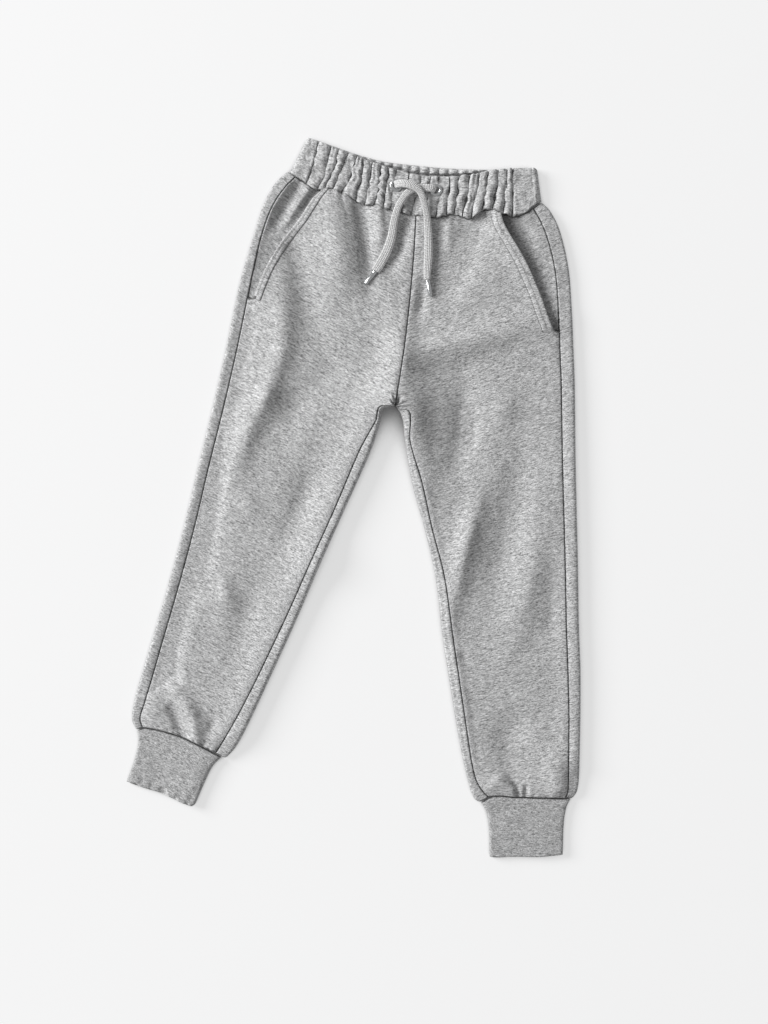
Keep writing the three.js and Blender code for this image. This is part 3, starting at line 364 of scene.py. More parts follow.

# The legs. Edges: down, x, y, distance of the seam from that edge. Pocket: down, distance of its
# edge from the outer edge. Cuff line and hem: share across, rise. Cuff: down, outer x and y, inner
# x and y. Hem: width of the turned pocket edge, and how dark the painted shade along its inner line
# and in the open pocket is. Gape: how far that edge stands off. Inner rise: where the folds begin in
# from the inner edge, and over what length. Cuff swell: share across, spread, height.
LEG_TABLES = {
    "right": {
        "length": 552,
        "hem": 7.6,
        "hem_line": 0.15,
        "gape": 0.8,
        "inner_rise": (-8, 12),
        "rib_slant": 0.16,
        "outer": [
            (0, -62, 308, 7.5),
            (13, -72.7, 299, 9.5),
            (37, -84.6, 278.8, 8.7),
            (70, -95, 247, 7.5),
            (117, -108, 202.4, 10.3),
            (178, -120.5, 142.8, 10.5),
            (235, -133, 87.4, 10.2),
            (293, -147, 30.4, 10),
            (352, -160.5, -26.6, 10),
            (411, -175.8, -83.6, 10),
            (470, -192.6, -140.6, 10.2),
            (500, -201, -169.1, 10.5),
            (529, -208.5, -196.7, 10),
            (544, -209.8, -211.9, 8),
            (552, -206, -220.4, 6.5),
        ],
        "inner": [
            (178, 39.2, 85.4, 0),
            (191, 28.2, 83.2, 1.5),
            (205, 25, 69.4, 4.5),
            (235, 15.8, 41.8, 9.8),
            (293, -8.2, -11.7, 8.8),
            (352, -32, -65.2, 9),
            (411, -55.2, -119.3, 10),
            (470, -80, -173.5, 11),
            (500, -92.5, -200.5, 12),
            (529, -105, -226.1, 13.3),
            (544, -113, -239.2, 12.5),
            (552, -121.1, -247.5, 10),
        ],
        "pocket": [(0, 34), (37, 36.4), (70, 26), (93, 20.5), (117, 17.2), (128, 15.9)],
        "cuff_line": [(0, 0), (0.1, 4.5), (0.4, 7), (0.63, 5.6), (0.88, 1.9), (1, 0)],
        "cuff": [
            (0, -204.6, -221.7, -125.6, -246.9),
            (10, -203.8, -231.6, -133.2, -255),
            (28, -207.6, -249.5, -140.1, -268.5),
            (50, -215.2, -270.2, -149.6, -291.5),
        ],
        "cuff_hem": [(0, 0.4), (0.25, -0.2), (0.52, 0.2), (0.7, -1.7), (0.88, -3), (0.95, -2.6), (1, 0.8)],
        "cuff_swell": (0.84, 0.3, 2.6),
        "cuff_dents": 1.6,
    },
    "left": {
        "length": 567,
        "hem": 10.4,
        "hem_line": 0.5,
        "gape": 4.8,
        "inner_rise": (-3, 10),
        "rib_slant": -0.05,
        "outer": [
            (0, 178.1, 280.7, 7.6),
            (11, 186, 272.7, 11.4),
            (32, 195.4, 253.7, 13.2),
            (70, 204, 216.6, 12.8),
            (111, 207.2, 175.3, 12.6),
            (142, 208.5, 143.5, 13),
            (178, 209.8, 108.3, 13),
            (256, 210.7, 29, 12.6),
            (347, 212.8, -63.1, 12.2),
            (405, 213.7, -121.6, 12),
            (447, 215.2, -165.3, 12),
            (491, 215.1, -208.6, 11),
            (530, 214.3, -248.7, 10.6),
            (548, 213.8, -266.6, 10.3),
            (561, 212, -279, 9),
            (567, 208, -285.5, 7),
        ],
        "inner": [
            (178, 39.2, 85.4, 0),
            (186, 43.8, 80, 8.2),
            (195, 46.9, 71.8, 7.2),
            (216, 48.9, 52.3, 4.9),
            (256, 55.8, 13, 9.2),
            (301, 67.8, -30.7, 7),
            (347, 77.8, -75, 8.3),
            (405, 84.6, -133, 9.8),
            (447, 91.3, -175.2, 9.4),
            (491, 98.1, -217.6, 8.8),
            (530, 105.7, -256.5, 7.4),
            (548, 110, -273.6, 8),
            (561, 114.3, -285.5, 10),
            (567, 119.2, -289.3, 9),
        ],
        "pocket": [(0, 38.5), (11, 44.3), (32, 45.3), (70, 35.8), (95, 28), (111, 23.6), (128, 18)],
        "cuff_line": [(0, 0), (0.3, 1.6), (0.6, 3.4), (0.86, 5.2), (1, 0)],
        "cuff": [
            (0, 205.6, -286.4, 121.6, -290),
            (8, 201.9, -294.6, 125.9, -298.2),
            (24, 199.5, -310, 128.7, -313.8),
            (52, 198.6, -340.2, 129.2, -342.2),
        ],
        "cuff_hem": [(0, 0.9), (0.12, 0.3), (0.3, -0.5), (0.5, -0.1), (0.7, 0.5), (0.9, 0.2), (1, 1)],
        "cuff_swell": (0.2, 0.3, 0.6),
        "cuff_dents": 0.3,
    },
}

# The drawcord's free ends, from each eyelet over or under the other and down the front
CORD_ROUTES = {
    "right": [
        (39.6, 295.2, 12.6),
        (42.6, 295.8, 15.2),
        (46.6, 295.8, 17.0),
        (51.2, 295.1, 17.9),
        (56, 293.6, 18.0),
        (60.4, 291, 17.6),
        (63.8, 286.6, 17.1),
        (66.4, 280.2, 16.4),
        (68.4, 272.4, 14.9),
        (69.8, 264.2, 13.1),
        (70.6, 255.2, 11.6),
        (71, 246, 10.9),
        (71.1, 237.2, 10.8),
        (70.9, 228.4, 10.8),
        (70.3, 218.8, 10.8),
        (69.9, 211, 10.8),
        (70.2, 205.4, 10.8),
    ],
    "left": [
        (77.6, 290.4, 12.6),
        (74.4, 291.6, 14.2),
        (70.4, 292.2, 14.4),
        (65.4, 292.3, 14.0),
        (60.4, 292, 13.9),
        (55.6, 290.6, 14.0),
        (51, 287.2, 14.3),
        (46.8, 281.8, 14.4),
        (42.8, 274.6, 14.0),
        (40, 266.4, 12.9),
        (38.2, 258.2, 11.9),
        (36.9, 249.6, 11.3),
        (34.8, 241, 11.1),
        (31.6, 232.4, 11.0),
        (27.6, 224.6, 10.8),
        (23.6, 217.8, 10.6),
        (21, 213.9, 10.5),
    ],
}
# Width of each end along its length: share, width
CORD_WIDTHS = {
    "right": [(0, 7.4), (0.16, 7.6), (0.3, 6.2), (0.55, 7.2), (0.8, 8.2), (0.96, 7), (1, 5.4)],
    "left": [(0, 7.2), (0.2, 7.2), (0.34, 6.6), (0.6, 7.8), (0.9, 9.2), (1, 8.6)],
}
AGLET_TIPS = {"right": (73, 190.4, 10.6), "left": (9.6, 199.6, 9.6)}
EYELET_PLACES = {"right": (40.4, 294.6), "left": (78, 290.2)}


# Shapes worked out from the tables

def clamp(value, low, high):
    return np.minimum(np.maximum(value, low), high)


def mix(a, b, t):
    return a + (b - a) * t


def smooth(t):
    s = clamp(t, 0, 1)
    return s * s * (3 - 2 * s)


def bell(distance, width):
    return np.exp(-((distance / width) ** 2))


def largest(*values):
    """The largest of several values at each point."""
    return reduce(np.maximum, values)


def curve(rows, column, at):
    """A smooth curve through one column of a table, read at values of its first column."""
    table = np.asarray(rows, float)
    key, value = table[:, 0], table[:, column]
    at = np.asarray(at, float)
    i = clamp(np.searchsorted(key, at) - 1, 0, len(key) - 2)
    slope = np.empty(len(key))
    slope[1:-1] = (value[2:] - value[:-2]) / (key[2:] - key[:-2])
    slope[0] = (value[1] - value[0]) / (key[1] - key[0])
    slope[-1] = (value[-1] - value[-2]) / (key[-1] - key[-2])
    span = key[i + 1] - key[i]
    t = clamp((at - key[i]) / span, 0, 1)
    blend = t * t * (3 - 2 * t)
    leaving = t * (1 - t) ** 2 * span * slope[i]
    arriving = t * t * (t - 1) * span * slope[i + 1]
    return value[i] * (1 - blend) + value[i + 1] * blend + leaving + arriving


def fold_relief(table, x, y):
    """How much the folds raise or lower the cloth at places in plan."""
    relief = np.zeros(np.broadcast(x, y).shape)
    for x1, y1, xm, ym, x2, y2, width, height, start, end in table:
        nearest = np.full(relief.shape, np.inf)
        along = np.zeros(relief.shape)
        for k, (ax, ay, bx, by) in enumerate(((x1, y1, xm, ym), (xm, ym, x2, y2))):
            length_squared = (bx - ax) ** 2 + (by - ay) ** 2
            t = clamp(((x - ax) * (bx - ax) + (y - ay) * (by - ay)) / length_squared, 0, 1)
            distance = np.hypot(x - mix(ax, bx, t), y - mix(ay, by, t))
            closer = distance < nearest
            nearest = np.where(closer, distance, nearest)
            along = np.where(closer, (k + t) / 2, along)
        strength = np.where(
            along < 0.5,
            mix(start, 1, smooth(along * 2)),
            mix(1, end, smooth(along * 2 - 1)),
        )
        relief += height * strength * bell(nearest, width)
    return relief


def unevenness(x, y, size, seed):
    """Gentle lumps of about one size, as brushed cloth has where it lies."""
    chance = np.random.default_rng(seed)
    waves = 9
    total = 0
    for _ in range(waves):
        heading = chance.uniform(0, 2 * math.pi)
        wave = size * chance.uniform(1.4, 3.2)
        phase = chance.uniform(0, 2 * math.pi)
        along = x * math.cos(heading) + y * math.sin(heading)
        total = total + np.sin(along * 2 * math.pi / wave + phase)
    return total * math.sqrt(2 / waves)


def lumps(table, x, y, seed):
    """The unevenness that a table of sizes, heights and seeds gives."""
    return sum(height * unevenness(x, y, size, seed + own) for size, height, own in table)


def wander(at, size, seed):
    """Gentle lumps of about one size along one line."""
    return unevenness(at, 0 * at, size, seed)


def squared(value, power=ROLL_SQUARENESS):
    """Turns a circle's section into a fuller, squarer one."""
    return np.sign(value) * np.abs(value) ** power


def groove(distance):
    """How deep a seam is drawn in, at a distance from it."""
    return GROOVE_DEPTH * bell(distance, GROOVE_WIDTH)


def painted_shade(distance):
    """How strongly a seam's painted shade shows, at a distance from it."""
    return bell(distance, SHADE_WIDTH)


def turned_edge(nx, nz):
    """Shade low on a rolled edge, where the cloth turns under on the side that faces -X."""
    return EDGE_SHADE * bell(nz - 0.05, 0.45) * smooth(0.3 - 2 * nx)


def varied(look, at, seed):
    """A strength that wanders round its mean along a line, up to 1."""
    return clamp(look["mean"] + look["swing"] * wander(at, look["size"], seed), look["least"], 1)


def broken(at, seed):
    """How strongly a seam's painted shade shows along its length, less where the cloth closes over it."""
    return varied(SEAM_LINE, at, seed)


def waist_gap(x):
    """How far the waist seam stands open along its length."""
    return varied(WAIST_OPENING, x, 77)


def waist_line(x):
    """The waist seam with the small scallops that the gathers pull in it."""
    ends = smooth((x - SCALLOPS["from"]) / SCALLOPS["fade"]), smooth((SCALLOPS["to"] - x) / SCALLOPS["fade"])
    scallops = SCALLOPS["height"] * wander(x, SCALLOPS["size"], 23) * ends[0] * ends[1]
    return curve(PULLED_SEAM, 1, x) + scallops


def no_lower(height, floor, sharpness=2):
    """Keeps a height above a floor, with a soft turn."""
    return floor + np.logaddexp(0, (height - floor) * sharpness) / sharpness


def rounded(distance, radius):
    """How far a rounded edge falls away, at a distance in from it."""
    inside = clamp(1 - distance / radius, 0, 1)
    return radius * (1 - np.sqrt(1 - inside * inside))


class Leg:
    """One leg as it lies. Rows run across it and "down" follows it from the waist seam."""

    def __init__(self, name):
        for key, value in LEG_TABLES[name].items():
            setattr(self, key, value)
        self.seed = 11 if name == "right" else 47
        self.to_plus_x = 1 if name == "right" else -1

    def rows(self, down):
        """The edges, width and seams of the rows at these distances down."""
        self.down = np.asarray(down, float).reshape(-1, 1)
        above = self.down <= CROTCH_DOWN
        self.outer_x = curve(self.outer, 1, self.down)
        self.outer_y = curve(self.outer, 2, self.down)
        self.inner_x, self.inner_y = (
            np.where(above, curve(CENTRE_SEAM, column, self.down), curve(self.inner, column, self.down))
            for column in (1, 2)
        )
        self.width = np.hypot(self.inner_x - self.outer_x, self.inner_y - self.outer_y)
        self.side_seam = curve(self.outer, 3, self.down)
        self.inseam = np.where(above, 0, np.maximum(curve(self.inner, 3, self.down), 0))
        self.wrap = clamp((self.down - CROTCH_DOWN) / SEAM_TURN, 0, 1)
        self.closed = smooth((self.down - CROTCH_DOWN + CLOSING) / CLOSING)
        pocket = curve(self.pocket, 1, self.down)
        self.pocket_shut = smooth((self.down - POCKET_TIP) / POCKET_END)
        self.pocket_edge = mix(pocket, self.side_seam, self.pocket_shut)
        return self

    def place(self, u):
        """Places in plan at u along each row from its outer edge."""
        t = u / self.width
        start_x, start_y = self.outer[0][1:3]
        end_x, end_y = CENTRE_SEAM[0][1:3]
        waist_x = mix(start_x, end_x, t)
        seam = curve(WAIST_SEAM, 1, waist_x)
        bow = (seam - mix(start_y, end_y, t)) * (1 - smooth(self.down / WAIST_BOW_REACH))
        pull = (waist_line(waist_x) - seam) * (1 - smooth(self.down / GATHER_PULL_REACH))
        near_cuff = smooth((self.down - self.length + CUFF_BOW_REACH) / CUFF_BOW_REACH)
        rise = curve(self.cuff_line, 1, clamp(t, 0, 1)) * near_cuff
        x = mix(self.outer_x, self.inner_x, t)
        return x, mix(self.outer_y, self.inner_y, t) + bow + pull + rise

    def top_height(self, u):
        """The height of the top side, without the turned hem of the pocket."""
        from_inner = self.width - u
        outer_rise = smooth((u - ROLL_RADIUS) / RISE_WIDTH)
        inner_rise = mix(1, smooth((from_inner - ROLL_RADIUS) / RISE_WIDTH), self.closed)
        x, y = self.place(u)
        (outer_start, outer_over), (inner_start, inner_over) = FOLD_START, self.inner_rise
        from_edges = mix(1, smooth((from_inner - inner_start) / inner_over), self.closed)
        fade = smooth((u - outer_start) / outer_over) * from_edges
        to_side, to_inseam = u - self.side_seam, from_inner - self.inseam
        depth, width = SEAM_DIP
        side_dip = depth * bell(to_side, width) * mix(OPEN_SIDE_DIP, 1, self.pocket_shut)
        inner_dip = depth * bell(to_inseam, width)
        waist_dip = WAIST_DIP[0] * bell(self.down, WAIST_DIP[1])
        cuff_dip = CUFF_DIP[0] * bell(self.length - self.down, CUFF_DIP[1])
        folds = fold_relief(FOLDS, x, y) * fade + fold_relief(CREASES, x, y) + self.crotch_relief(x, y)
        width = PUCKER["width"]
        pucker = wander(self.down, PUCKER["side"], self.seed) * bell(to_side, width)
        pucker = pucker + wander(self.down, PUCKER["inner"], self.seed + 1) * bell(to_inseam, width)
        height = (
            2 * ROLL_RADIUS + PANEL_RISE * outer_rise * inner_rise + folds
            - side_dip - inner_dip - waist_dip - cuff_dip
            + PUCKER["height"] * pucker + lumps(PANEL_LUMPS, x, y, self.seed) * smooth(u / 12)
            - self.waist_tucks(x) - self.cuff_tucks(u)
        )
        return no_lower(height, LOWEST_TOP)

    def crotch_relief(self, x, y):
        """The rise of the cloth over the crotch, and the puckers round the point where the seams meet."""
        away, heading = np.hypot(x - CROTCH[0], y - CROTCH[1]), np.arctan2(y - CROTCH[1], x - CROTCH[0])
        puckers = CROTCH_PUCKERS
        rays = np.sin(puckers["count"] * heading + puckers["waver"] * np.sin(3 * heading))
        ring = bell(away - puckers["radius"], puckers["spread"])
        return CROTCH_LIFT[0] * bell(away, CROTCH_LIFT[1]) + puckers["depth"] * ring * rays

    def under_height(self, u):
        """How far the soft creases of the underside lift it off the floor."""
        x, y = self.place(u)
        from_outer, from_inner = u - ROLL_RADIUS, self.width - ROLL_RADIUS - u
        ends = smooth(from_outer / UNDER_FADE) * smooth(from_inner / UNDER_FADE)
        return np.minimum(fold_relief(UNDER_FOLDS, x, y), UNDER_LIFT) * ends

    def hem_relief(self, from_edge):
        """The turned pocket edge: its extra layer, and how it is stitched down and stands off."""
        opened = 1 - self.pocket_shut
        layer = HEM_RAISE * opened * (1 - smooth((from_edge - self.hem + HEM_STEP / 2) / HEM_STEP))
        stitched = sum(
            deep * bell(from_edge - self.hem + row, HEM_LINE_WIDTH) for row, deep in STITCH_ROWS
        )
        gape = self.gape * bell(self.down - GAPE_AT[0], GAPE_AT[1]) * bell(from_edge, GAPE_WIDTH)
        return layer, (gape - stitched) * opened

    def waist_tucks(self, x):
        """Short tucks under the waist seam where a valley of the gathers ends."""
        total = 0
        chance = np.random.default_rng(5)
        tuck = WAIST_TUCKS
        for seam, _, depth, _, _ in GATHERS:
            reach = chance.uniform(*tuck["reach"])
            lean = chance.uniform(*tuck["lean"])
            strength = depth * chance.uniform(*tuck["strength"])
            across = bell(x - seam - lean * self.down, tuck["width"])
            total = total + tuck["height"] * strength * across * bell(self.down, reach)
        return total

    def cuff_tucks(self, u):
        """Small puckers over the seam of the cuff, which is tighter than the leg."""
        total = 0
        chance = np.random.default_rng(self.seed + 9)
        tuck = CUFF_TUCKS
        for k in range(tuck["count"]):
            at = self.width * (k + chance.uniform(*tuck["at"])) / tuck["count"]
            reach = chance.uniform(*tuck["reach"])
            deep = chance.uniform(*tuck["depth"])
            across = bell(u - at, chance.uniform(*tuck["width"]))
            total = total + deep * across * bell(self.length - self.down, reach)
        return total

    def inner_edge(self, path):
        """The inner edge's section: a path from the flat underside round the roll and over the top."""
        quarter = math.pi / 2 * ROLL_RADIUS
        angle = clamp(path, 0, 2 * quarter) / ROLL_RADIUS - math.pi / 2
        over = np.maximum(path - 2 * quarter, 0)
        rolled_u = self.width - ROLL_RADIUS + ROLL_RADIUS * squared(np.cos(angle))
        flat_u = self.width - ROLL_RADIUS - over
        on_top = path > 2 * quarter
        u = np.where(on_top, flat_u, rolled_u)
        top = self.top_height(flat_u)
        crown = self.top_height(self.width - ROLL_RADIUS) / (2 * ROLL_RADIUS)
        rolled_z = ROLL_RADIUS * (1 + squared(np.sin(angle)))
        rolled_z = rolled_z * mix(1, crown, clamp(rolled_z / (2 * ROLL_RADIUS), 0, 1))
        z = np.where(on_top, top, rolled_z)
        nu = np.where(on_top, 0, np.cos(angle))
        nz = np.where(on_top, 1, np.sin(angle))
        return u, z, nu, nz

    def inseam_path(self):
        """How far along that path the inseam lies."""
        quarter = math.pi / 2 * ROLL_RADIUS
        over = np.maximum(self.inseam - ROLL_RADIUS, 0)
        return quarter + self.wrap * (quarter + over)


def leg_downs(first, last, length):
    """Distances down for the rows of a leg, closest at the waist, the crotch and the cuff."""
    stretches = [
        (0, 24, 1.0),
        (24, 118, 2.1),
        (118, 134, 0.8),
        (134, 170, 2.1),
        (170, 206, 1.0),
        (206, length - 44, 2.2),
        (length - 44, length - 8, 1.3),
        (length - 8, length, 0.7),
    ]
    downs = [np.arange(a, b, step) for a, b, step in stretches] + [np.array([length])]
    downs = np.unique(np.concatenate(downs).round(3))
    return downs[(downs >= first) & (downs <= last)]


def eased(count, power=1.8):
    """Shares from 0 to 1, closer together towards 0."""
    return np.linspace(0, 1, count) ** power


def grid(u, z, nu, nz, thickness, leg):
    """Outer and inner points of a leg's wall from its section."""
    x, y = leg.place(u)
    inner_x, inner_y = leg.place(u - thickness * nu)
    outer = np.stack([x, y, z], -1)
    inner = np.stack([inner_x, inner_y, z - thickness * nz], -1)
    return outer, inner


def front_panel(leg):
    """From the pocket edge and the side seam across the top to the centre seam and the inseam."""
    leg.rows(leg_downs(0, leg.length, leg.length))
    at_lip = np.array([0, 0.2, 0.5, 0.9, 1.4, 2.1, 3.0])
    at_hem = leg.hem + np.array([-4.4, -4, -3.6, -2.6, -1.4, -0.7, -0.3, 0, 0.3, 0.7, 1.3, 2.2])
    offsets = np.sort(np.concatenate([at_lip, at_hem])).reshape(1, -1)
    u_edge = leg.pocket_edge + offsets
    margin = 6 + leg.wrap * leg.inseam
    main = np.linspace(0, 1, 66)[1:].reshape(1, -1)
    u_main = mix(leg.pocket_edge + offsets[:, -1:], leg.width - margin, main)
    back_share = eased(18)[::-1][1:].reshape(1, -1)
    last = slice(-back_share.size, None)
    flat_u = leg.width - margin * back_share
    start = math.pi * ROLL_RADIUS + margin - ROLL_RADIUS
    path = mix(leg.inseam_path(), start, back_share)
    roll_u, roll_z, roll_nu, roll_nz = leg.inner_edge(path)
    below = leg.down >= CROTCH_DOWN - 1
    u_end = np.where(below, roll_u, flat_u)
    u_top = np.hstack([u_edge, u_main, flat_u])
    z = leg.top_height(u_top)
    z[:, last] = np.where(below, roll_z, z[:, last])
    u = np.hstack([u_edge, u_main, u_end])
    nu, nz = np.zeros_like(u), np.ones_like(u)
    nu[:, last] = np.where(below, roll_nu, 0)
    nz[:, last] = np.where(below, roll_nz, 1)
    from_edge = u - leg.pocket_edge
    opened = 1 - leg.pocket_shut
    layer, standing = leg.hem_relief(from_edge)
    lip = rounded(from_edge, HEM_LIP) * opened
    to_seam = leg.width - u_top
    to_seam[:, last] = np.where(below, path - leg.inseam_path(), leg.width - flat_u)
    gap = waist_gap(leg.place(u_top)[0])
    drawn = largest(
        groove(from_edge) * leg.pocket_shut,
        groove(to_seam),
        groove(leg.down) * gap,
        groove(leg.length - leg.down) * CUFF_GROOVE,
    )
    z = z + layer + standing - lip - drawn * nz
    u = u - drawn * nu
    # Painted shade along the inner line of the turned pocket edge
    hem_line = leg.hem_line * opened * bell(from_edge - leg.hem, HEM_LINE_WIDTH)
    shade = largest(
        painted_shade(from_edge) * leg.pocket_shut * broken(leg.down, leg.seed + 20),
        painted_shade(to_seam) * broken(leg.down, leg.seed + 21),
        WAIST_SHADE * gap * painted_shade(leg.down),
        CUFF_SHADE * painted_shade(leg.length - leg.down) * broken(u_top, leg.seed + 23),
        hem_line * broken(leg.down, leg.seed + 24),
    )
    outer, inner = grid(u, z, nu, nz, FLEECE + layer, leg)
    cloth = np.stack([u_top, leg.down - COURSE_SLANT * u_top], -1)
    return outer, inner, cloth, shade


def back_panel(leg):
    """From the side seam round the outer roll, across the underside and up the inner roll."""
    leg.rows(leg_downs(0, leg.length, leg.length))
    strip = np.array([0, 0.025, 0.06, 0.11, 0.18, 0.28, 0.4, 0.54, 0.7, 0.85]).reshape(1, -1)
    strip_u = mix(leg.side_seam, ROLL_RADIUS, strip)
    strip_z = leg.top_height(strip_u)
    angle = np.linspace(math.pi / 2, 3 * math.pi / 2, 15).reshape(1, -1)
    crown = leg.top_height(np.full_like(leg.down, ROLL_RADIUS)) / (2 * ROLL_RADIUS)
    arc_u = ROLL_RADIUS + ROLL_RADIUS * squared(np.cos(angle)) + 0 * leg.down
    arc_z = ROLL_RADIUS * (1 + squared(np.sin(angle)))
    arc_z = arc_z * mix(1, crown, arc_z / (2 * ROLL_RADIUS))
    under = np.linspace(0, 1, 44)[1:].reshape(1, -1)
    under_u = mix(ROLL_RADIUS, leg.width - ROLL_RADIUS, under)
    rise = 1 - eased(26, 1.3)[::-1][1:].reshape(1, -1)
    path = leg.inseam_path() * rise
    roll_u, roll_z, roll_nu, roll_nz = leg.inner_edge(path)
    below = leg.down >= CROTCH_DOWN - 1
    flat_u = mix(leg.width - ROLL_RADIUS, leg.width, rise)
    end_u = np.where(below, roll_u, flat_u)
    end_z = np.where(below, roll_z, 0)
    u = np.hstack([strip_u, arc_u, under_u, end_u])
    under_z = leg.under_height(under_u)
    end_z = end_z + leg.under_height(flat_u) * (rise < 0.02)
    z = np.hstack([strip_z, arc_z, under_z, end_z])
    flat = np.zeros_like(under_u)
    end_nu, end_nz = np.where(below, roll_nu, 0), np.where(below, roll_nz, -1)
    nu = np.hstack([0 * strip_u, np.cos(angle) + 0 * leg.down, flat, end_nu])
    nz = np.hstack([1 + 0 * strip_u, np.sin(angle) + 0 * leg.down, flat - 1, end_nz])
    far_away = 50.0
    from_side, from_inner = np.full_like(u, far_away), np.full_like(u, far_away)
    from_side[:, :strip.size] = leg.side_seam - strip_u
    from_inner[:, -rise.size:] = np.where(below, leg.inseam_path() - path, far_away)
    facing = clamp(nz * 2 + 1, 0, 1)
    drawn = largest(
        groove(from_side),
        groove(from_inner),
        groove(leg.down) * facing,
        groove(leg.length - leg.down) * CUFF_GROOVE * facing,
    )
    shade = largest(
        painted_shade(from_side) * broken(leg.down, leg.seed + 20),
        painted_shade(from_inner) * broken(leg.down, leg.seed + 21),
        UNDER_WAIST_SHADE * painted_shade(leg.down),
        CUFF_SHADE * painted_shade(leg.length - leg.down),
        turned_edge(leg.to_plus_x * nu, nz),
    )
    step = np.hypot(np.diff(u, axis=1), np.diff(z, axis=1))
    along = np.hstack([np.zeros_like(leg.down), np.cumsum(step, axis=1)])
    u, z = u - drawn * nu, np.maximum(z - drawn * nz, 0)
    outer, inner = grid(u, z, nu, nz, FLEECE, leg)
    cloth = np.stack([along, leg.down - COURSE_SLANT * u], -1)
    return outer, inner, cloth, shade


def hip_piece(leg):
    """The back of the pocket, from the side seam to where it runs on under the front panel."""
    leg.rows(leg_downs(0, POCKET_TIP, leg.length))
    start = leg.side_seam
    edge = curve(leg.pocket, 1, leg.down)
    share = np.hstack([[0, 0.006, 0.014, 0.025, 0.04], np.linspace(0.06, 1, 34)]).reshape(1, -1)
    u = mix(start, edge + POCKET_TUCK, share)
    visible = np.maximum(edge - start, 1)
    rise = (2 * ROLL_RADIUS - LAYER_GAP - POCKET_FLOOR) * smooth((edge - start) / 20)
    x, y = leg.place(u)
    level = POCKET_FLOOR + rise * smooth((edge - 2 - u) / visible)
    relief = fold_relief(HIP_FOLDS, x, y) * smooth((edge - 1 - u) / 6) + lumps(HIP_LUMPS, x, y, leg.seed)
    level = np.maximum(level + relief, POCKET_FLOOR - HIP_SINK)
    drawn = largest(groove(u - start), groove(leg.down))
    hollow = sum(
        strength * bell(edge - u, reach) * bell(leg.down - middle, spread)
        for strength, reach, middle, spread in POCKET_SHADES
    )
    shade = largest(painted_shade(u - start), painted_shade(leg.down), leg.hem_line * hollow)
    outer, inner = grid(u, level - drawn, 0 * u, 1 + 0 * u, HIP_CLOTH, leg)
    cloth = np.stack([u, leg.down - COURSE_SLANT * u], -1)
    return outer, inner, cloth, shade


def cuff(leg):
    """A flat rib tube: its top, the outer edge, the underside and the inner edge."""
    radius = CUFF_HEIGHT / 2
    last = leg.cuff[-1][0]
    near_seam, near_hem = np.arange(0, 6, 0.7), last - 3 * eased(8, 1.6)[::-1]
    down = np.concatenate([near_seam, np.arange(6, last - 3, 1.5), near_hem]).reshape(-1, 1)
    outer_x, outer_y, inner_x, inner_y = (curve(leg.cuff, k, down) for k in (1, 2, 3, 4))
    width = np.hypot(inner_x - outer_x, inner_y - outer_y)
    dir_x, dir_y = (inner_x - outer_x) / width, (inner_y - outer_y) / width
    top = np.linspace(0, 1, 46)[:-1]
    arc = np.linspace(0, 1, 11)[:-1]
    under = np.linspace(0, 1, 15)[:-1]
    outer_angle = math.pi / 2 + math.pi * arc
    inner_angle = -math.pi / 2 + math.pi * arc
    u = np.hstack([
        mix(width - radius, radius, top),
        radius + radius * squared(np.cos(outer_angle)) + 0 * width,
        mix(radius, width - radius, under),
        width - radius + radius * squared(np.cos(inner_angle)),
    ])
    nu = np.hstack([0 * top, np.cos(outer_angle), 0 * under, np.cos(inner_angle)]) + 0 * width
    nz = np.hstack([1 + 0 * top, np.sin(outer_angle), 0 * under - 1, np.sin(inner_angle)]) + 0 * width
    outer_level, inner_level = squared(np.sin(outer_angle)), squared(np.sin(inner_angle))
    level = np.hstack([1 + 0 * top, outer_level, 0 * under - 1, inner_level])
    across = clamp(u / width, 0, 1)
    at_seam, at_hem = 1 - smooth(down / 22), smooth((down - 26) / 24)
    bow = curve(leg.cuff_line, 1, across) * at_seam + curve(leg.cuff_hem, 1, across) * at_hem
    x, y = outer_x + dir_x * u, outer_y + dir_y * u + bow
    upper = clamp(nz, 0, 1)
    centre, spread, high = leg.cuff_swell
    raised = lumps(CUFF_LUMPS, x, y, leg.seed) * upper + high * bell(across - centre, spread) * upper
    dents = leg.cuff_dents * bell(last - down, 8) * upper * clamp(unevenness(x, y, 4, leg.seed + 8), 0, 1)
    edge = rounded(last - down, CUFF_WALL / 2)
    drawn = groove(down) * CUFF_GROOVE
    z = np.maximum(radius + radius * level + raised - dents - (drawn + edge) * nz, 0)
    inner_z = radius + (radius - CUFF_WALL + edge) * nz
    outer = np.stack([x, y, z], -1)
    inner = np.stack([x - dir_x * nu * CUFF_WALL, y - dir_y * nu * CUFF_WALL, inner_z], -1)
    wrapped = np.hstack([across, across[:, :1] * 0]) * float(width.mean())
    turning = np.abs(np.hstack([nu, nu[:, :1]])[:, 1:]) > 0.01
    steps = np.abs(np.diff(np.hstack([u, u[:, :1]]), axis=1)) + math.pi * radius / arc.size * turning
    along = np.hstack([np.zeros_like(down), np.cumsum(steps, axis=1)])
    cloth = np.stack([along, down - leg.rib_slant * wrapped], -1)
    shade = largest(CUFF_SHADE * painted_shade(down), turned_edge(leg.to_plus_x * nu, nz))
    return outer, inner, cloth, shade


def away_from_eyelets(x, y):
    """0 at the eyelets, where the band is flat, and 1 away from them."""
    away = 1
    flat, fade = EYELET_CLEAR
    for ex, ey in EYELET_PLACES.values():
        away = np.minimum(away, smooth((np.hypot(x - ex, y - ey) - flat) / fade))
    return away


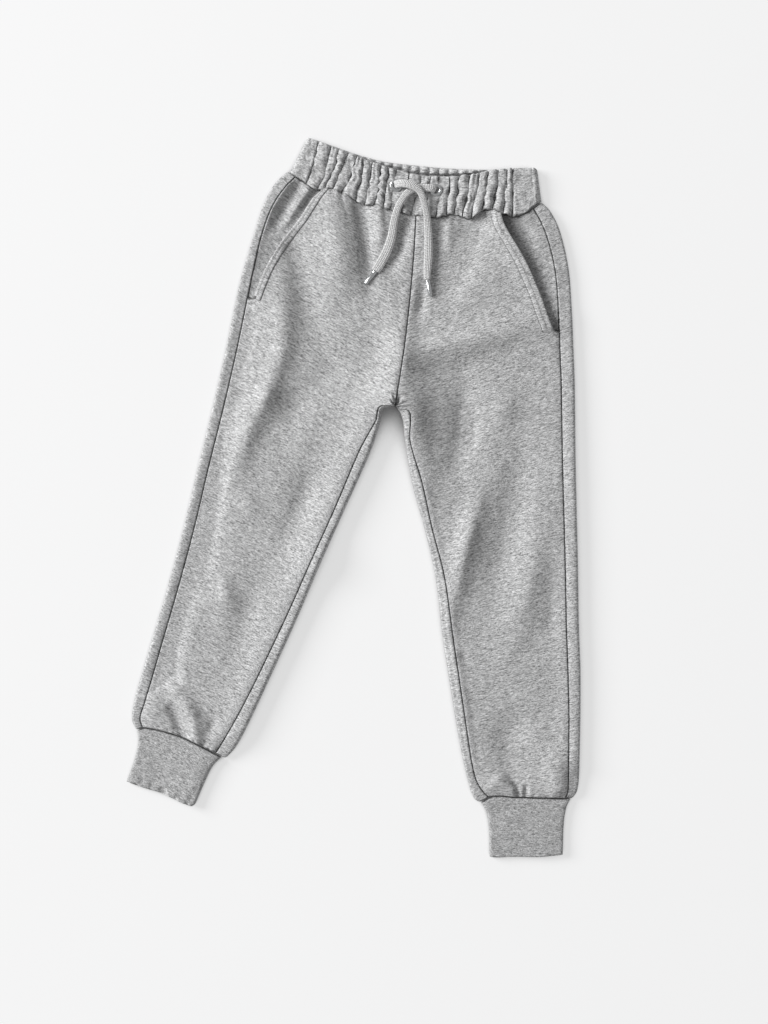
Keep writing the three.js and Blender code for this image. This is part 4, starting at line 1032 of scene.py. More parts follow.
def band_columns(radius):
    """The loop's columns: its front by gathers, the left end, its underside and the right end."""
    right, left = np.array(BAND_ENDS["right"]) + radius, np.array(BAND_ENDS["left"]) - radius
    stops = [right, *(np.array(row[:2]) for row in GATHERS), left]
    places, share, number = [], [], []
    for g, count in enumerate([12, *[14] * (len(GATHERS) - 1), 18]):
        t = (1 - np.cos(np.pi * np.arange(count) / count)) / 2
        places.append(mix(stops[g], stops[g + 1], t[:, None]))
        share.append(t)
        number.append(np.full(count, g - 1))
    share, number = np.concatenate(share), np.concatenate(number)
    arc = math.pi * (np.arange(BAND_ARC) / BAND_ARC)
    left_turn, right_turn = math.pi / 2 - arc, -math.pi / 2 - arc
    under = np.arange(BACK_RIBS * 9) / (BACK_RIBS * 9)
    places.append(left + radius * np.cos(left_turn)[:, None])
    places.append(mix(left, right, under[:, None]))
    places.append(right + radius * np.cos(right_turn)[:, None])
    seam, top = np.concatenate(places).T
    up_facing, down_facing = np.full(share.size, math.pi / 2), np.full(under.size, -math.pi / 2)
    angle = np.concatenate([up_facing, left_turn, down_facing, right_turn])
    return seam, top, angle, under, share, number


def band_gathers(up, count, share, number):
    """The gathers of the front: how its columns wander, how they puff up and how deep they lie."""
    drift, depth = np.zeros((up.size, count)), np.zeros((up.size, count))
    puff = np.full((up.size, count), VALLEY_PUFF)
    last = len(GATHERS) - 1
    for g, (_, _, strength, sway, pleat) in enumerate(GATHERS):
        here = np.flatnonzero(number == g)
        t = share[here].reshape(1, -1)
        _, _, next_strength, next_sway, _ = GATHERS[min(g + 1, last)]
        plump = (1 - np.abs(2 * t - 1) ** 2) ** 0.6
        if g == last:
            plump = VALLEY_PUFF + 0.1 * bell(t - 0.15, 0.1) - VALLEY_PUFF * bell(t, 0.05)
        second_at = mix(0.38, 0.62, (g * 0.37) % 1)
        second = pleat * 0.7 * bell(t - second_at, 0.17) * smooth((up - 0.5 * (g % 2)) / 0.3)
        puff[:, here] = plump - second
        depth[:, here] = mix(1, wander(up, 0.3, 60 + g), 0.36) * mix(strength, next_strength, t)
        swing = 1.3 * mix(sway, next_sway, t) * np.sin(math.pi * (up * 1.6 + 0.3 * g))
        drift[:, here] = swing + 0.7 * wander(up, 0.13, 90 + g)
    lead = np.flatnonzero(number == -1)
    puff[:, lead] = 0.6 - 0.6 * bell(1 - share[lead].reshape(1, -1), 0.07)
    depth[:, lead] = GATHERS[0][2]
    return drift, puff, depth


def waistband():
    """One gathered loop, laid flat."""
    radius = BAND_HEIGHT / 2
    (right_seam, right_top), (left_seam, left_top) = BAND_ENDS["right"], BAND_ENDS["left"]
    seam, top, angle, under, share, number = band_columns(radius)
    count, front_count = seam.size, share.size
    front = np.arange(count) < front_count
    underside = slice(front_count + BAND_ARC, front_count + BAND_ARC + under.size)
    back = np.zeros((1, count))
    back[:, underside.start - 5:underside.stop + 6] = 1
    near_seam, near_top = eased(8, 1.5) * 0.1, 1 - eased(10, 1.6) * 0.07
    middle = [np.linspace(0.1, 0.74, 20), np.linspace(0.74, 0.93, 15)]
    up = np.unique(np.concatenate([near_seam, *middle, near_top])).reshape(-1, 1)
    from_seam, from_top = up * BAND_TALL, (1 - up) * BAND_TALL

    drift, puff, depth = band_gathers(up, count, share, number)
    ends = np.minimum(smooth((seam - right_seam) / 16), smooth((left_seam - seam) / 16)).reshape(1, -1)
    bend = 1.6 * clamp((top - seam) / 12, -1, 1).reshape(1, -1)
    drift = (drift + bend * front) * ends * np.sin(math.pi * up)

    def place(shift):
        """Places in plan, with the columns shifted along the band."""
        sx, tx = seam.reshape(1, -1) + shift, top.reshape(1, -1) + shift
        line = mix(curve(WAIST_SEAM, 1, sx), waist_line(sx), ends)
        edge = np.where(back > 0, curve(BAND_BACK_TOP, 1, tx), curve(BAND_FRONT_TOP, 1, tx))
        edge = edge - rounded(np.minimum(tx - right_top, left_top - tx), BAND_CORNER)
        scallop = GATHER_SCALLOP * (puff - MEAN_PUFF) * depth * smooth((up - 0.6) / 0.4) * front
        return mix(sx, tx, up) + drift, mix(line, edge, up) + scallop

    # The outer face
    x, y = place(0)
    edge_drop = rounded(from_top, BAND_ROUND)
    gap = waist_gap(x)
    seam_drop = (0.25 + 0.5 * gap) * rounded(from_seam, 2.6) + gap * groove(from_seam)
    relief = GATHER_DEPTH * (puff - MEAN_PUFF) * depth * away_from_eyelets(x, y)
    relief = relief * mix(0.75, 1, smooth(np.abs(up - 0.5) * 2))
    hollow = BAND_DIMPLE
    dimple = bell(x - hollow["x"], hollow["width"]) * bell(up - hollow["up"], hollow["tall"])
    raised = 0.24 * unevenness(x, 0.7 * y, 5, 91) + 0.14 * unevenness(x, 0.5 * y, 2.2, 92)
    raised = raised - hollow["depth"] * dimple
    nx, nz = np.cos(angle).reshape(1, -1), np.sin(angle).reshape(1, -1)
    upper = clamp(nz, 0, 1)
    z = radius + radius * nz + (relief * front + raised) * upper - (edge_drop + seam_drop) * nz
    rib, pressed = np.zeros((1, count)), np.zeros((1, count))
    wave = np.sin(math.pi * (under * BACK_RIBS + 0.16 * np.sin(9 * under)))
    rib[:, underside] = np.abs(wave) ** 0.7 - MEAN_RIB
    pressed[:, underside] = UNDER_GATHER * (1 - MEAN_RIB - rib[:, underside])
    outer = np.stack([x, y, np.maximum(z, 0) + pressed], -1)

    # The inner face, which rises at the back's rim to show above the front's top edge
    inner_x, inner_y = place(-BAND_WALL * nx)
    beyond = (inner_y - curve(BAND_FRONT_TOP, 1, inner_x)) * back
    rim_height = (BACK_RIM + RIM_RIB_DEPTH * rib) * smooth((beyond - 0.9) / 2.4)
    rim_height = rim_height * np.sqrt(clamp(from_top / 3.2, 0, 1))
    inside = radius - (BAND_WALL - edge_drop)
    inner_z = radius + inside * nz + RIB_DEPTH * rib * smooth(up / 0.3) + rim_height
    inner = np.stack([inner_x, inner_y, inner_z], -1)

    around = np.cumsum(np.hypot(np.diff(seam), radius * np.diff(angle)))
    around = np.concatenate([[0], around, [around[-1] + 2]]).reshape(1, -1)
    cloth = np.stack([around + 0 * up, from_top + 0 * around], -1)
    # Painted shade in the valleys between the gathers
    valley = clamp(VALLEY_PUFF - puff, 0, VALLEY_PUFF) / VALLEY_PUFF * front * away_from_eyelets(x, y)
    valley = valley * clamp(0.75 + 0.45 * unevenness(x, y, 6, 93), 0.1, 1.1)
    shade = largest(BAND_SHADE * gap * painted_shade(from_seam), 0.85 * valley ** 1.5, turned_edge(nx, nz))
    return outer, inner, cloth, shade


# Meshes

def new_object(name, points, faces):
    """A smooth mesh object from points in metres and faces that all have as many corners."""
    mesh = bpy.data.meshes.new(name)
    faces = np.asarray(faces, np.int32)
    mesh.vertices.add(len(points))
    mesh.vertices.foreach_set("co", np.asarray(points, np.float32).ravel())
    mesh.loops.add(faces.size)
    mesh.loops.foreach_set("vertex_index", faces.ravel())
    mesh.polygons.add(len(faces))
    mesh.polygons.foreach_set("loop_start", np.arange(0, faces.size, faces.shape[1], dtype=np.int32))
    mesh.polygons.foreach_set("use_smooth", np.ones(len(faces), bool))
    mesh.update(calc_edges=True)
    mesh.validate()
    made = bpy.data.objects.new(name, mesh)
    bpy.context.scene.collection.objects.link(made)
    return made


def signed_volume(points, faces):
    """Six times the volume inside, negative where the faces look inwards."""
    first = points[faces[:, 0]]
    total = 0
    for k in range(1, faces.shape[1] - 1):
        crossed = np.cross(points[faces[:, k]], points[faces[:, k + 1]])
        total += np.einsum("ij,ij->i", first, crossed).sum()
    return total


def quads(at):
    """The four-cornered faces of a grid of point numbers."""
    return np.stack([at[:-1, :-1], at[:-1, 1:], at[1:, 1:], at[1:, :-1]], -1).reshape(-1, 4)


def rim(a, b):
    """The faces between two rows of point numbers."""
    return np.stack([a[:-1], b[:-1], b[1:], a[1:]], -1)


def cloth_wall(name, shape, looped=False):
    """A closed wall of cloth between two grids of points, with its cloth coordinates and painted shade."""
    outer, inner, cloth, shade = shape
    rows, columns = outer.shape[:2]
    half = rows * columns
    points = np.concatenate([outer.reshape(-1, 3), inner.reshape(-1, 3)]) * MM
    at = np.arange(half).reshape(rows, columns)
    if looped:
        at = np.hstack([at, at[:, :1]])
    to = np.arange(cloth.shape[0] * cloth.shape[1]).reshape(cloth.shape[:2])
    behind = to + to.size
    cloth = np.concatenate([cloth.reshape(-1, 2), cloth.reshape(-1, 2) + FLEECE])

    def closed(front, back):
        parts = [quads(front), quads(back)[:, ::-1]]
        parts += [rim(front[0], back[0]), rim(front[-1], back[-1])[:, ::-1]]
        if not looped:
            parts += [rim(front[:, 0], back[:, 0])[:, ::-1], rim(front[:, -1], back[:, -1])]
        return np.concatenate(parts)

    faces, corners = closed(at, at + half), closed(to, behind)
    if signed_volume(points, faces) < 0:
        faces, corners = faces[:, ::-1], corners[:, ::-1]
    made = new_object(name, points, faces)
    layer = made.data.uv_layers.new(name="cloth")
    layer.data.foreach_set("uv", (cloth[corners.ravel()] * MM).astype(np.float32).ravel())
    seam = made.data.attributes.new("painted_shade", "FLOAT", "POINT")
    seam.data.foreach_set("value", np.tile(shade.ravel(), 2).astype(np.float32))
    made.data.set_sharp_from_angle(angle=math.radians(70))
    return made


def lathe(name, profile, sides, place, direction):
    """A turned piece from (radius, height) pairs, standing at a place along a direction."""
    angles = 2 * math.pi * np.arange(sides) / sides
    profile = np.asarray(profile, float)
    ring = np.stack([np.cos(angles), np.sin(angles)], -1)
    points = np.concatenate([np.column_stack([ring * r, np.full(sides, h)]) for r, h in profile])
    at = np.arange(len(points)).reshape(len(profile), sides)
    at = np.hstack([at, at[:, :1]])
    turn = Vector(direction).to_track_quat("Z", "Y").to_matrix()
    points = (points @ np.array(turn).T + np.array(place)) * MM
    made = new_object(name, points, quads(at))
    made.data.set_sharp_from_angle(angle=math.radians(50))
    return made


def stitches(name, places, directions, length, radius):
    """A row of short threads, each a small rounded rod lying on the cloth."""
    rings = np.array([(-1, 0.3), (-0.8, 0.85), (0, 1), (0.8, 0.85), (1, 0.3)])
    sides = 6
    turn = 2 * math.pi * np.arange(sides) / sides
    along = np.asarray(directions, float)
    along = along / np.linalg.norm(along, axis=1)[:, None]
    across = np.cross([0, 0, 1], along)
    across /= np.linalg.norm(across, axis=1)[:, None]
    up = np.cross(along, across)
    centre = np.asarray(places, float)
    points = (
        centre[:, None, None, :]
        + along[:, None, None, :] * (rings[:, 0] * length / 2)[None, :, None, None]
        + across[:, None, None, :] * (rings[:, 1, None] * np.cos(turn) * radius)[None, :, :, None]
        + up[:, None, None, :] * (rings[:, 1, None] * np.sin(turn) * radius)[None, :, :, None]
    )
    at = np.arange(len(rings) * sides).reshape(len(rings), sides)
    at = np.hstack([at, at[:, :1]])
    ends = [at[0, [0, 1, 2, 3]], at[0, [0, 3, 4, 5]], at[-1, [3, 2, 1, 0]], at[-1, [5, 4, 3, 0]]]
    one = np.concatenate([quads(at)[:, ::-1], np.array(ends)[:, ::-1]])
    size = len(rings) * sides
    faces = np.concatenate([one + k * size for k in range(len(centre))])
    points = points.reshape(-1, 3) * MM
    if signed_volume(points, faces) < 0:
        faces = faces[:, ::-1]
    return new_object(name, points, faces)


def hem_stitches(leg, row):
    """Twin-needle stitching along the turned pocket edge, one row."""
    pitch = STITCH["length"] + STITCH["gap"]
    downs = np.arange(2.5, POCKET_TIP - 1, 0.25)
    leg.rows(downs)
    u = leg.pocket_edge + leg.hem - row
    layer, standing = leg.hem_relief(u - leg.pocket_edge)
    x, y = leg.place(u)
    line = np.hstack([x, y, leg.top_height(u) + layer + standing + STITCH["radius"] * 0.55])
    along = np.concatenate([[0], np.cumsum(np.linalg.norm(np.diff(line, axis=0), axis=1))])
    count = int(along[-1] / pitch)
    chance = np.random.default_rng(leg.seed)
    middle = (np.arange(count) + 0.5) * pitch + chance.uniform(-0.2, 0.2, count)
    before, at, after = (
        np.stack([np.interp(middle + shift, along, line[:, k]) for k in range(3)], -1)
        for shift in (-1, 0, 1)
    )
    return at, after - before


def bar_tack(leg):
    """A close bar of thread across the lower end of the pocket opening."""
    above, below = BAR_TACK["ends"]
    leg.rows(np.arange(POCKET_TIP + above, POCKET_TIP + below, BAR_TACK["pitch"]))
    u = leg.pocket_edge + BAR_TACK["in"]
    layer, standing = leg.hem_relief(u - leg.pocket_edge)
    x, y = leg.place(u)
    places = np.hstack([x, y, leg.top_height(u) + layer + standing + 0.2])
    before_x, before_y = leg.place(u - 1)
    after_x, after_y = leg.place(u + 1)
    return places, np.hstack([after_x - before_x, after_y - before_y, 0 * u])


def spline_points(route, per_span=6):
    """Points along a centripetal curve through a route."""
    p = np.array(route, float)
    p = np.vstack([2 * p[0] - p[1], p, 2 * p[-1] - p[-2]])
    found = []
    for i in range(1, len(p) - 2):
        a, b, c, d = p[i - 1:i + 3]
        t0, t1, t2 = (math.sqrt(np.linalg.norm(q - r)) for q, r in ((b, a), (c, b), (d, c)))
        leave = ((b - a) / t0 - (c - a) / (t0 + t1) + (c - b) / t1) * t1
        arrive = ((c - b) / t1 - (d - b) / (t1 + t2) + (d - c) / t2) * t1
        for t in np.arange(per_span) / per_span:
            found.append(
                (2 * t ** 3 - 3 * t * t + 1) * b + (t ** 3 - 2 * t * t + t) * leave
                + (3 * t * t - 2 * t ** 3) * c + (t ** 3 - t * t) * arrive
            )
    found.append(p[-2])
    return np.array(found)


def cord_mesh(name, side):
    """A flat knitted tube laid along its route, fuller on one side of a soft lengthwise crease."""
    line = spline_points(CORD_ROUTES[side])
    step = np.linalg.norm(np.diff(line, axis=0), axis=1)
    along = np.concatenate([[0], np.cumsum(step)])
    tangent = np.gradient(line, axis=0)
    tangent /= np.linalg.norm(tangent, axis=1)[:, None]
    across = np.cross([0, 0, 1], tangent)
    across /= np.linalg.norm(across, axis=1)[:, None]
    up = np.cross(tangent, across)
    sides = 28
    angle = 2 * math.pi * np.arange(sides) / sides
    flat = np.sign(np.cos(angle)) * np.abs(np.cos(angle)) ** 0.8
    high = np.sign(np.sin(angle)) * np.abs(np.sin(angle)) ** 0.9
    crease = 0.22 * bell(flat + 0.25, 0.16) * (high > 0)
    width = curve(CORD_WIDTHS[side], 1, along / along[-1]) / 2
    sideways = across[:, None, :] * (width[:, None] * flat)[:, :, None]
    upward = up[:, None, :] * (CORD_THICKNESS / 2 * high - crease)[None, :, None]
    points = line[:, None, :] + sideways + upward
    rows = len(line)
    at = np.arange(rows * sides).reshape(rows, sides)
    at = np.hstack([at, at[:, :1]])
    faces = quads(at)
    centre = np.stack([line[0], line[-1]])
    points = np.concatenate([points.reshape(-1, 3), centre]) * MM
    first, last = rows * sides, rows * sides + 1
    caps = []
    for k in range(0, sides, 2):
        caps.append([at[0, k], first, at[0, k + 2], at[0, k + 1]])
        caps.append([at[-1, k], at[-1, k + 1], at[-1, k + 2], last])
    faces = np.concatenate([faces, np.array(caps)])
    if signed_volume(points, faces) < 0:
        faces = faces[:, ::-1]
    made = new_object(name, points, faces)
    layer = made.data.uv_layers.new(name="cloth")
    over = np.append(np.tile(flat, rows), [0, 0])
    down = np.append(np.repeat(along, sides), [0, along[-1]])
    layer.data.foreach_set("uv", np.column_stack([over, down])[faces.ravel()].astype(np.float32).ravel())
    return made, line * MM, along[-1] * MM


# Shader groups and materials

def feed(tree, made, inputs):
    """Links or sets a node's inputs."""
    for key, value in inputs.items():
        if isinstance(value, bpy.types.NodeSocket):
            tree.links.new(value, made.inputs[key])
        else:
            made.inputs[key].default_value = value
    return made


def node(tree, kind, inputs=None, **settings):
    """A new node with its settings and inputs. A group's tree is set before its inputs exist."""
    made = tree.nodes.new(kind)
    for key, value in settings.items():
        setattr(made, key, value)
    return feed(tree, made, inputs or {})


def new_group(name, inputs, outputs):
    """An empty node group with its sockets, its input node and its output node."""
    tree = bpy.data.node_groups.new(name, "ShaderNodeTree")
    for label, kind, value in inputs:
        socket = tree.interface.new_socket(label, in_out="INPUT", socket_type=kind)
        if value is not None:
            socket.default_value = value
    for label, kind in outputs:
        tree.interface.new_socket(label, in_out="OUTPUT", socket_type=kind)
    return tree, tree.nodes.new("NodeGroupInput"), tree.nodes.new("NodeGroupOutput")


def maths(tree, operation, a, b=0.0):
    return node(tree, "ShaderNodeMath", {0: a, 1: b}, operation=operation).outputs[0]


def vector_maths(tree, operation, a, b):
    return node(tree, "ShaderNodeVectorMath", {0: a, 1: b}, operation=operation).outputs[0]


def grey_ramp(tree, factor, first, last, *between):
    """A colour ramp whose stops are each a position and a colour."""
    made = node(tree, "ShaderNodeValToRGB", {"Fac": factor})
    stops = made.color_ramp.elements
    for stop, (position, colour) in zip(stops, (first, last)):
        stop.position, stop.color = position, (*colour, 1)
    for position, colour in between:
        stops.new(position).color = (*colour, 1)
    return made.outputs["Color"]


def bump(tree, height, strength, distance):
    inputs = {"Strength": strength, "Distance": distance, "Height": height}
    return node(tree, "ShaderNodeBump", inputs).outputs["Normal"]


def heather_group():
    """Melange yarn: light and dark fibres drawn out along the courses of the knit."""
    tree, start, end = new_group(
        "melange yarn",
        [("Cloth", "NodeSocketVector", None), ("Fibre length", "NodeSocketFloat", 5.0),
         ("Fibre width", "NodeSocketFloat", 1.0), ("Contrast", "NodeSocketFloat", 1.0),
         ("Offset", "NodeSocketVector", None)],
        [("Tone", "NodeSocketFloat"), ("Height", "NodeSocketFloat")],
    )
    moved = vector_maths(tree, "ADD", start.outputs["Cloth"], start.outputs["Offset"])
    parts = node(tree, "ShaderNodeSeparateXYZ", {0: moved})

    def fibres(length_share, width_share, detail, shift):
        length = maths(tree, "MULTIPLY", start.outputs["Fibre length"], length_share)
        width = maths(tree, "MULTIPLY", start.outputs["Fibre width"], width_share)
        x = maths(tree, "DIVIDE", parts.outputs["X"], length)
        y = maths(tree, "DIVIDE", parts.outputs["Y"], width)
        vector = {0: maths(tree, "ADD", x, shift), 1: y, 2: shift}
        noise = node(tree, "ShaderNodeTexNoise", {
            "Vector": node(tree, "ShaderNodeCombineXYZ", vector).outputs[0],
            "Scale": 1.0,
            "Detail": detail,
            "Roughness": 0.6,
        })
        return maths(tree, "SUBTRACT", noise.outputs["Fac"], 0.5)

    tone, height = 0.0, 0.0
    for *look, in_tone, in_height in FIBRES:
        made = fibres(*look)
        tone = maths(tree, "ADD", tone, maths(tree, "MULTIPLY", made, in_tone))
        height = maths(tree, "ADD", height, maths(tree, "MULTIPLY", made, in_height))
    tone = maths(tree, "ADD", maths(tree, "MULTIPLY", tone, start.outputs["Contrast"]), 0.5)
    feed(tree, end, {"Tone": tone, "Height": maths(tree, "ADD", height, 0.5)})
    return tree


def shade_painting_group():
    """Painted shade: darkens a colour where a seam, a tight valley, a turned edge or the open pocket would
    hold the light back.
    """
    tree, start, end = new_group(
        "painted shade group",
        [("Colour", "NodeSocketColor", None), ("Depth", "NodeSocketFloat", 0.6)],
        [("Colour", "NodeSocketColor")],
    )
    shade = node(tree, "ShaderNodeAttribute", attribute_name="painted_shade").outputs["Fac"]
    factor = maths(tree, "MULTIPLY", shade, start.outputs["Depth"])
    colours = {"Factor": factor, "A": start.outputs["Colour"], "B": (0, 0, 0, 1)}
    mixed = node(tree, "ShaderNodeMix", colours, data_type="RGBA", blend_type="MIX")
    tree.links.new(mixed.outputs["Result"], end.inputs["Colour"])
    return tree


heather = heather_group()
# The group that paints shade at seams, valleys, turned edges and pockets
seams = shade_painting_group()


def new_material(name, **looks):
    """A material, its tree and its surface, with the surface's inputs set."""
    made = bpy.data.materials.new(name)
    made.use_nodes = True
    surface = made.node_tree.nodes["Principled BSDF"]
    feed(made.node_tree, surface, {key.replace("_", " "): value for key, value in looks.items()})
    return made, made.node_tree, surface


def grey(value):
    """A grey with the slightest turn to blue."""
    return (value, value * 1.003, value * 1.008)


def knit_material(name, dark, mid, light, length, width, contrast, offset):
    """Melange knit: the yarn's fibres on the cloth's own coordinates, with painted shade at seams, valleys,
    turned edges and pockets.
    """
    made, tree, surface = new_material(
        name, Roughness=0.95, Specular_IOR_Level=0.2, Sheen_Weight=0.04, Sheen_Roughness=0.5,
    )
    coords = node(tree, "ShaderNodeUVMap", uv_map="cloth").outputs[0]
    yarn = node(tree, "ShaderNodeGroup", {
        "Cloth": vector_maths(tree, "MULTIPLY", coords, (1 / MM, 1 / MM, 1 / MM)),
        "Fibre length": length,
        "Fibre width": width,
        "Contrast": contrast,
        "Offset": (offset, offset * 1.7, 0),
    }, node_tree=heather)
    colour = grey_ramp(tree, yarn.outputs["Tone"], (0.0, grey(dark)), (1.0, grey(light)), (0.5, grey(mid)))
    # Painted shade: the yarn's colour darkened by the shade attribute
    seam = node(tree, "ShaderNodeGroup", {"Colour": colour, "Depth": PAINTED_SHADE_DEPTH}, node_tree=seams)
    normal = bump(tree, yarn.outputs["Height"], 0.5, 0.0005)
    feed(tree, surface, {"Base Color": seam.outputs["Colour"], "Normal": normal})
    return made


def cord_material(name):
    """Knitted cord: slanted stitches that meet in the middle, with darker flecks and painted shade in the
    hollows between the stitches.
    """
    made, tree, surface = new_material(name, Roughness=0.85, Specular_IOR_Level=0.3)
    coords = node(tree, "ShaderNodeUVMap", uv_map="cloth").outputs[0]
    parts = node(tree, "ShaderNodeSeparateXYZ", {0: coords})
    across, along = parts.outputs["X"], parts.outputs["Y"]
    lean = maths(tree, "MULTIPLY", maths(tree, "ABSOLUTE", across), 1.1)
    rows = maths(tree, "MULTIPLY", maths(tree, "SUBTRACT", along, lean), 2 * math.pi / CORD_STITCH)
    stitch = maths(tree, "MULTIPLY", maths(tree, "SINE", rows), 0.5)
    wales = maths(tree, "MULTIPLY", maths(tree, "SINE", maths(tree, "MULTIPLY", across, 15.0)), 0.3)
    height = maths(tree, "ADD", stitch, wales)
    at = {0: maths(tree, "MULTIPLY", across, 4.5), 1: maths(tree, "MULTIPLY", along, 0.7)}
    fleck = node(tree, "ShaderNodeTexNoise", {
        "Vector": node(tree, "ShaderNodeCombineXYZ", at).outputs[0],
        "Scale": 1.0,
        "Detail": 2.0,
    })
    # Painted shade: the tone follows the stitches' height, darker where it is low
    tone = maths(tree, "ADD", maths(tree, "MULTIPLY", height, 0.3), fleck.outputs["Fac"])
    colour = grey_ramp(tree, tone, (0.2, (0.28, 0.28, 0.28)), (0.76, (0.86, 0.86, 0.86)))
    feed(tree, surface, {"Base Color": colour, "Normal": bump(tree, height, 0.8, 0.0005)})
    return made


def metal_material(name, colour, roughness):
    """Worn metal: scuffs change how sharply it reflects."""
    made, tree, surface = new_material(name, Base_Color=(*colour, 1), Metallic=1.0)
    place = node(tree, "ShaderNodeTexCoord").outputs["Object"]
    scuff = node(tree, "ShaderNodeTexNoise", {"Vector": place, "Scale": 900.0, "Detail": 3.0}).outputs["Fac"]
    least, most = roughness
    spread = node(tree, "ShaderNodeMapRange", {"Value": scuff, "To Min": least, "To Max": most})
    feed(tree, surface, {"Roughness": spread.outputs["Result"], "Normal": bump(tree, scuff, 0.05, 0.0002)})
    return made


def thread_with_painted_shade(name):
    """Melange thread, made dark as painted shade for the dents that the stitches lie in."""
    made, tree, surface = new_material(name, Roughness=0.8)
    place = node(tree, "ShaderNodeTexCoord").outputs["Object"]
    noise = node(tree, "ShaderNodeTexNoise", {"Vector": place, "Scale": 1600.0}).outputs["Fac"]
    colour = grey_ramp(tree, noise, (0.0, (0.12, 0.12, 0.12)), (1.0, (0.34, 0.34, 0.34)))
    feed(tree, surface, {"Base Color": colour})
    return made


fleece_front, fleece_back, fleece_hip, fleece_band, rib_knit = (
    knit_material(name, *look) for name, look in KNITS.items()
)
cord_knit = cord_material("knitted cord")
nickel = metal_material("nickel", NICKEL, NICKEL_ROUGHNESS)
thread = thread_with_painted_shade("thread with painted shade")


def finish_piece(made, material, slot, *nodes):
    """Gives a piece its material, sets it under the root and hides the solids it replaces; slot is not used.
    """
    made.data.materials.append(material)
    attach(made, "root")
    if nodes:
        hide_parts(*nodes)
    return made


def cloth_piece(solid, ending, shape, material, slot="fleece", looped=False):
    """The cloth wall that replaces one solid."""
    return finish_piece(cloth_wall(f"{solid}_{ending}", shape, looped), material, slot, solid)


# Camera
camera_data = bpy.data.cameras.new("camera")
camera = bpy.data.objects.new("camera", camera_data)
bpy.context.scene.collection.objects.link(camera)
camera.location = (PICTURE_CENTRE[0] * MM, PICTURE_CENTRE[1] * MM, CAMERA_HEIGHT)
camera_data.sensor_fit = "VERTICAL"
camera_data.sensor_height = SENSOR_HEIGHT
camera_data.lens = SENSOR_HEIGHT * CAMERA_HEIGHT / (PICTURE_HEIGHT * MM_PER_PIXEL * MM)
camera_data.clip_end = 50
bpy.context.scene.camera = camera

# Drawcord, aglets and eyelets
for side in ("right", "left"):
    piece, path, length = cord_mesh(f"drawcord_{side}_knit", side)
    finish_piece(piece, cord_knit, "cord", f"drawcord_{side}")
    end = np.array(CORD_ROUTES[side][-1])
    direction = np.array(AGLET_TIPS[side]) - end
    direction = direction / np.linalg.norm(direction)
    radius, tip, reach = AGLET["radius"], AGLET["tip"], AGLET["length"]
    profile = [
        (0, 0), (radius * 0.8, 0), (radius * 0.97, 0.25), (radius, 0.7), (radius, 2.0),
        (radius * 0.9, 2.3), (radius * 0.9, 2.7), (radius * 0.99, 3.0),
        (mix(radius, tip, 0.7), reach * 0.7), (tip, reach - 1.4), (tip * 0.86, reach - 0.6),
        (tip * 0.5, reach - 0.12), (0, reach),
    ]
    aglet = lathe(f"aglet_{side}_metal", profile, 32, end + direction * 0.3, direction)
    finish_piece(aglet, nickel, "metal", f"aglet_{side}")
    x, y = EYELET_PLACES[side]
    middle, half = (EYELET["outer"] + EYELET["inner"]) / 2, (EYELET["outer"] - EYELET["inner"]) / 2
    turn = 2 * math.pi * np.arange(17) / 16
    ring = [(middle + half * math.cos(a), EYELET["height"] / 2 * (1 + math.sin(a))) for a in turn]
    eyelet = lathe(f"eyelet_{side}_metal", ring, 48, (x, y, BAND_HEIGHT + 0.2), (0, 0, 1))
    finish_piece(eyelet, nickel, "metal", f"eyelet_{side}")

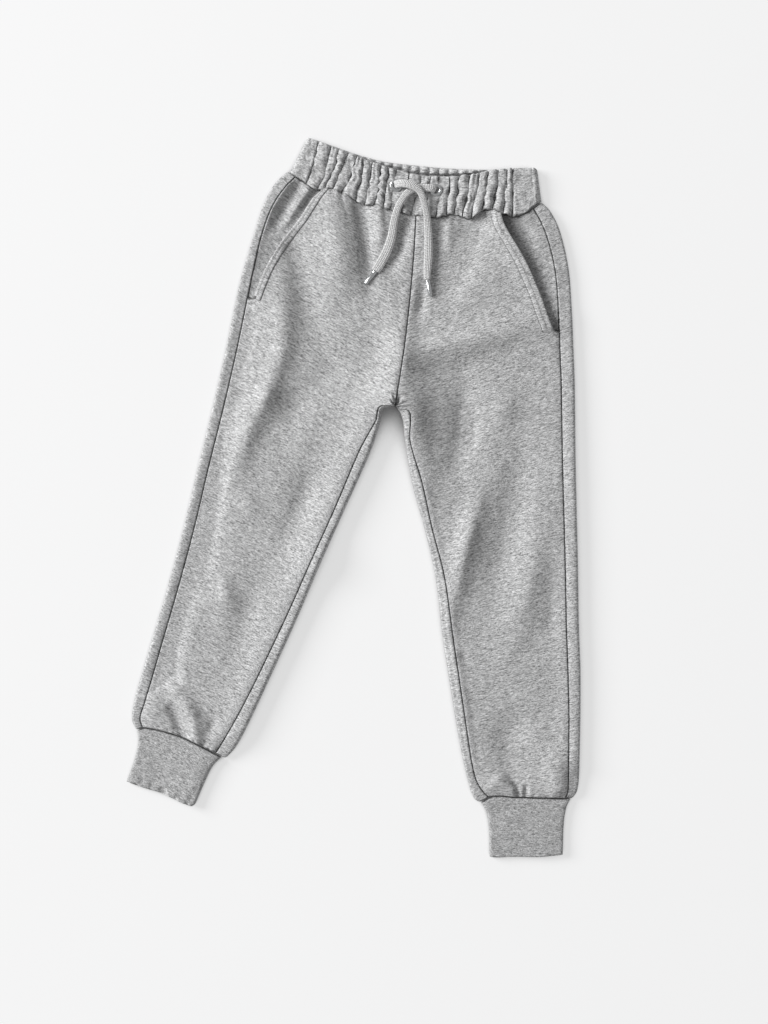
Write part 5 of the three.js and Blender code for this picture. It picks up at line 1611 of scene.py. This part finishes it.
# Cloth
legs = {name: Leg(name) for name in ("right", "left")}
for name, leg in legs.items():
    front = cloth_piece(f"front_panel_{name}", "fleece", front_panel(leg), fleece_front)
    back = cloth_piece(f"back_panel_{name}", "fleece", back_panel(leg), fleece_back)
    hip = cloth_piece(f"hip_pocket_{name}", "fleece", hip_piece(leg), fleece_hip)
    ribbed = cloth_piece(f"cuff_{name}", "rib", cuff(leg), rib_knit, "rib", looped=True)
    sewn = [hem_stitches(leg, row) for row, _ in STITCH_ROWS]
    places, directions = (np.concatenate([part[k] for part in sewn]) for k in (0, 1))
    sewing = stitches(f"pocket_stitches_{name}", places, directions, STITCH["length"], STITCH["radius"])
    finish_piece(sewing, thread, "fleece")
    tack = stitches(f"bar_tack_{name}", *bar_tack(leg), BAR_TACK["length"], BAR_TACK["radius"])
    finish_piece(tack, thread, "fleece")
band = cloth_piece("waistband", "fleece", waistband(), fleece_band, looped=True)

# Floor and light
floor_mesh = bpy.data.meshes.new("floor")
corners = [(x * FLOOR_REACH, y * FLOOR_REACH, 0) for x, y in ((-1, -1), (1, -1), (1, 1), (-1, 1))]
floor_mesh.from_pydata(corners, [], [(0, 1, 2, 3)])
floor = bpy.data.objects.new("floor", floor_mesh)
floor.location.z = -FLOOR_DROP
bpy.context.scene.collection.objects.link(floor)
paper, paper_tree, paper_surface = new_material(
    "pale floor", Base_Color=FLOOR_COLOUR, Emission_Strength=FLOOR_GLOW, Roughness=0.9,
)
# Painted contact shadow: the floor's glow dims where the part stands close over it
openness = node(paper_tree, "ShaderNodeAmbientOcclusion", {"Distance": FLOOR_SHADOW_REACH}, samples=12).outputs["AO"]
glow_with_painted_shadow = node(paper_tree, "ShaderNodeMapRange", {"Value": openness, **FLOOR_PAINTED_SHADOW}).outputs["Result"]
feed(paper_tree, paper_surface, {"Emission Color": glow_with_painted_shadow})
floor_mesh.materials.append(paper)


def window(name, distance, size, strength):
    """A soft square light that gives this strength at the middle of the picture."""
    light = bpy.data.lights.new(name, "AREA")
    light.shape = "SQUARE"
    light.size = size
    light.energy = strength * math.pi * distance ** 2
    made = bpy.data.objects.new(name, light)
    made.location = Vector(WINDOW) * -distance
    made.rotation_euler = Vector(WINDOW).to_track_quat("-Z", "Y").to_euler()
    bpy.context.scene.collection.objects.link(made)


window("window", 7.0, 3.4, WINDOW_STRENGTH)
world = bpy.data.worlds.new("studio")
world.use_nodes = True
world.node_tree.nodes["Background"].inputs["Color"].default_value = (1, 1, 1, 1)
world.node_tree.nodes["Background"].inputs["Strength"].default_value = ROOM_STRENGTH
bpy.context.scene.world = world
bpy.context.scene.view_settings.view_transform = "Standard"
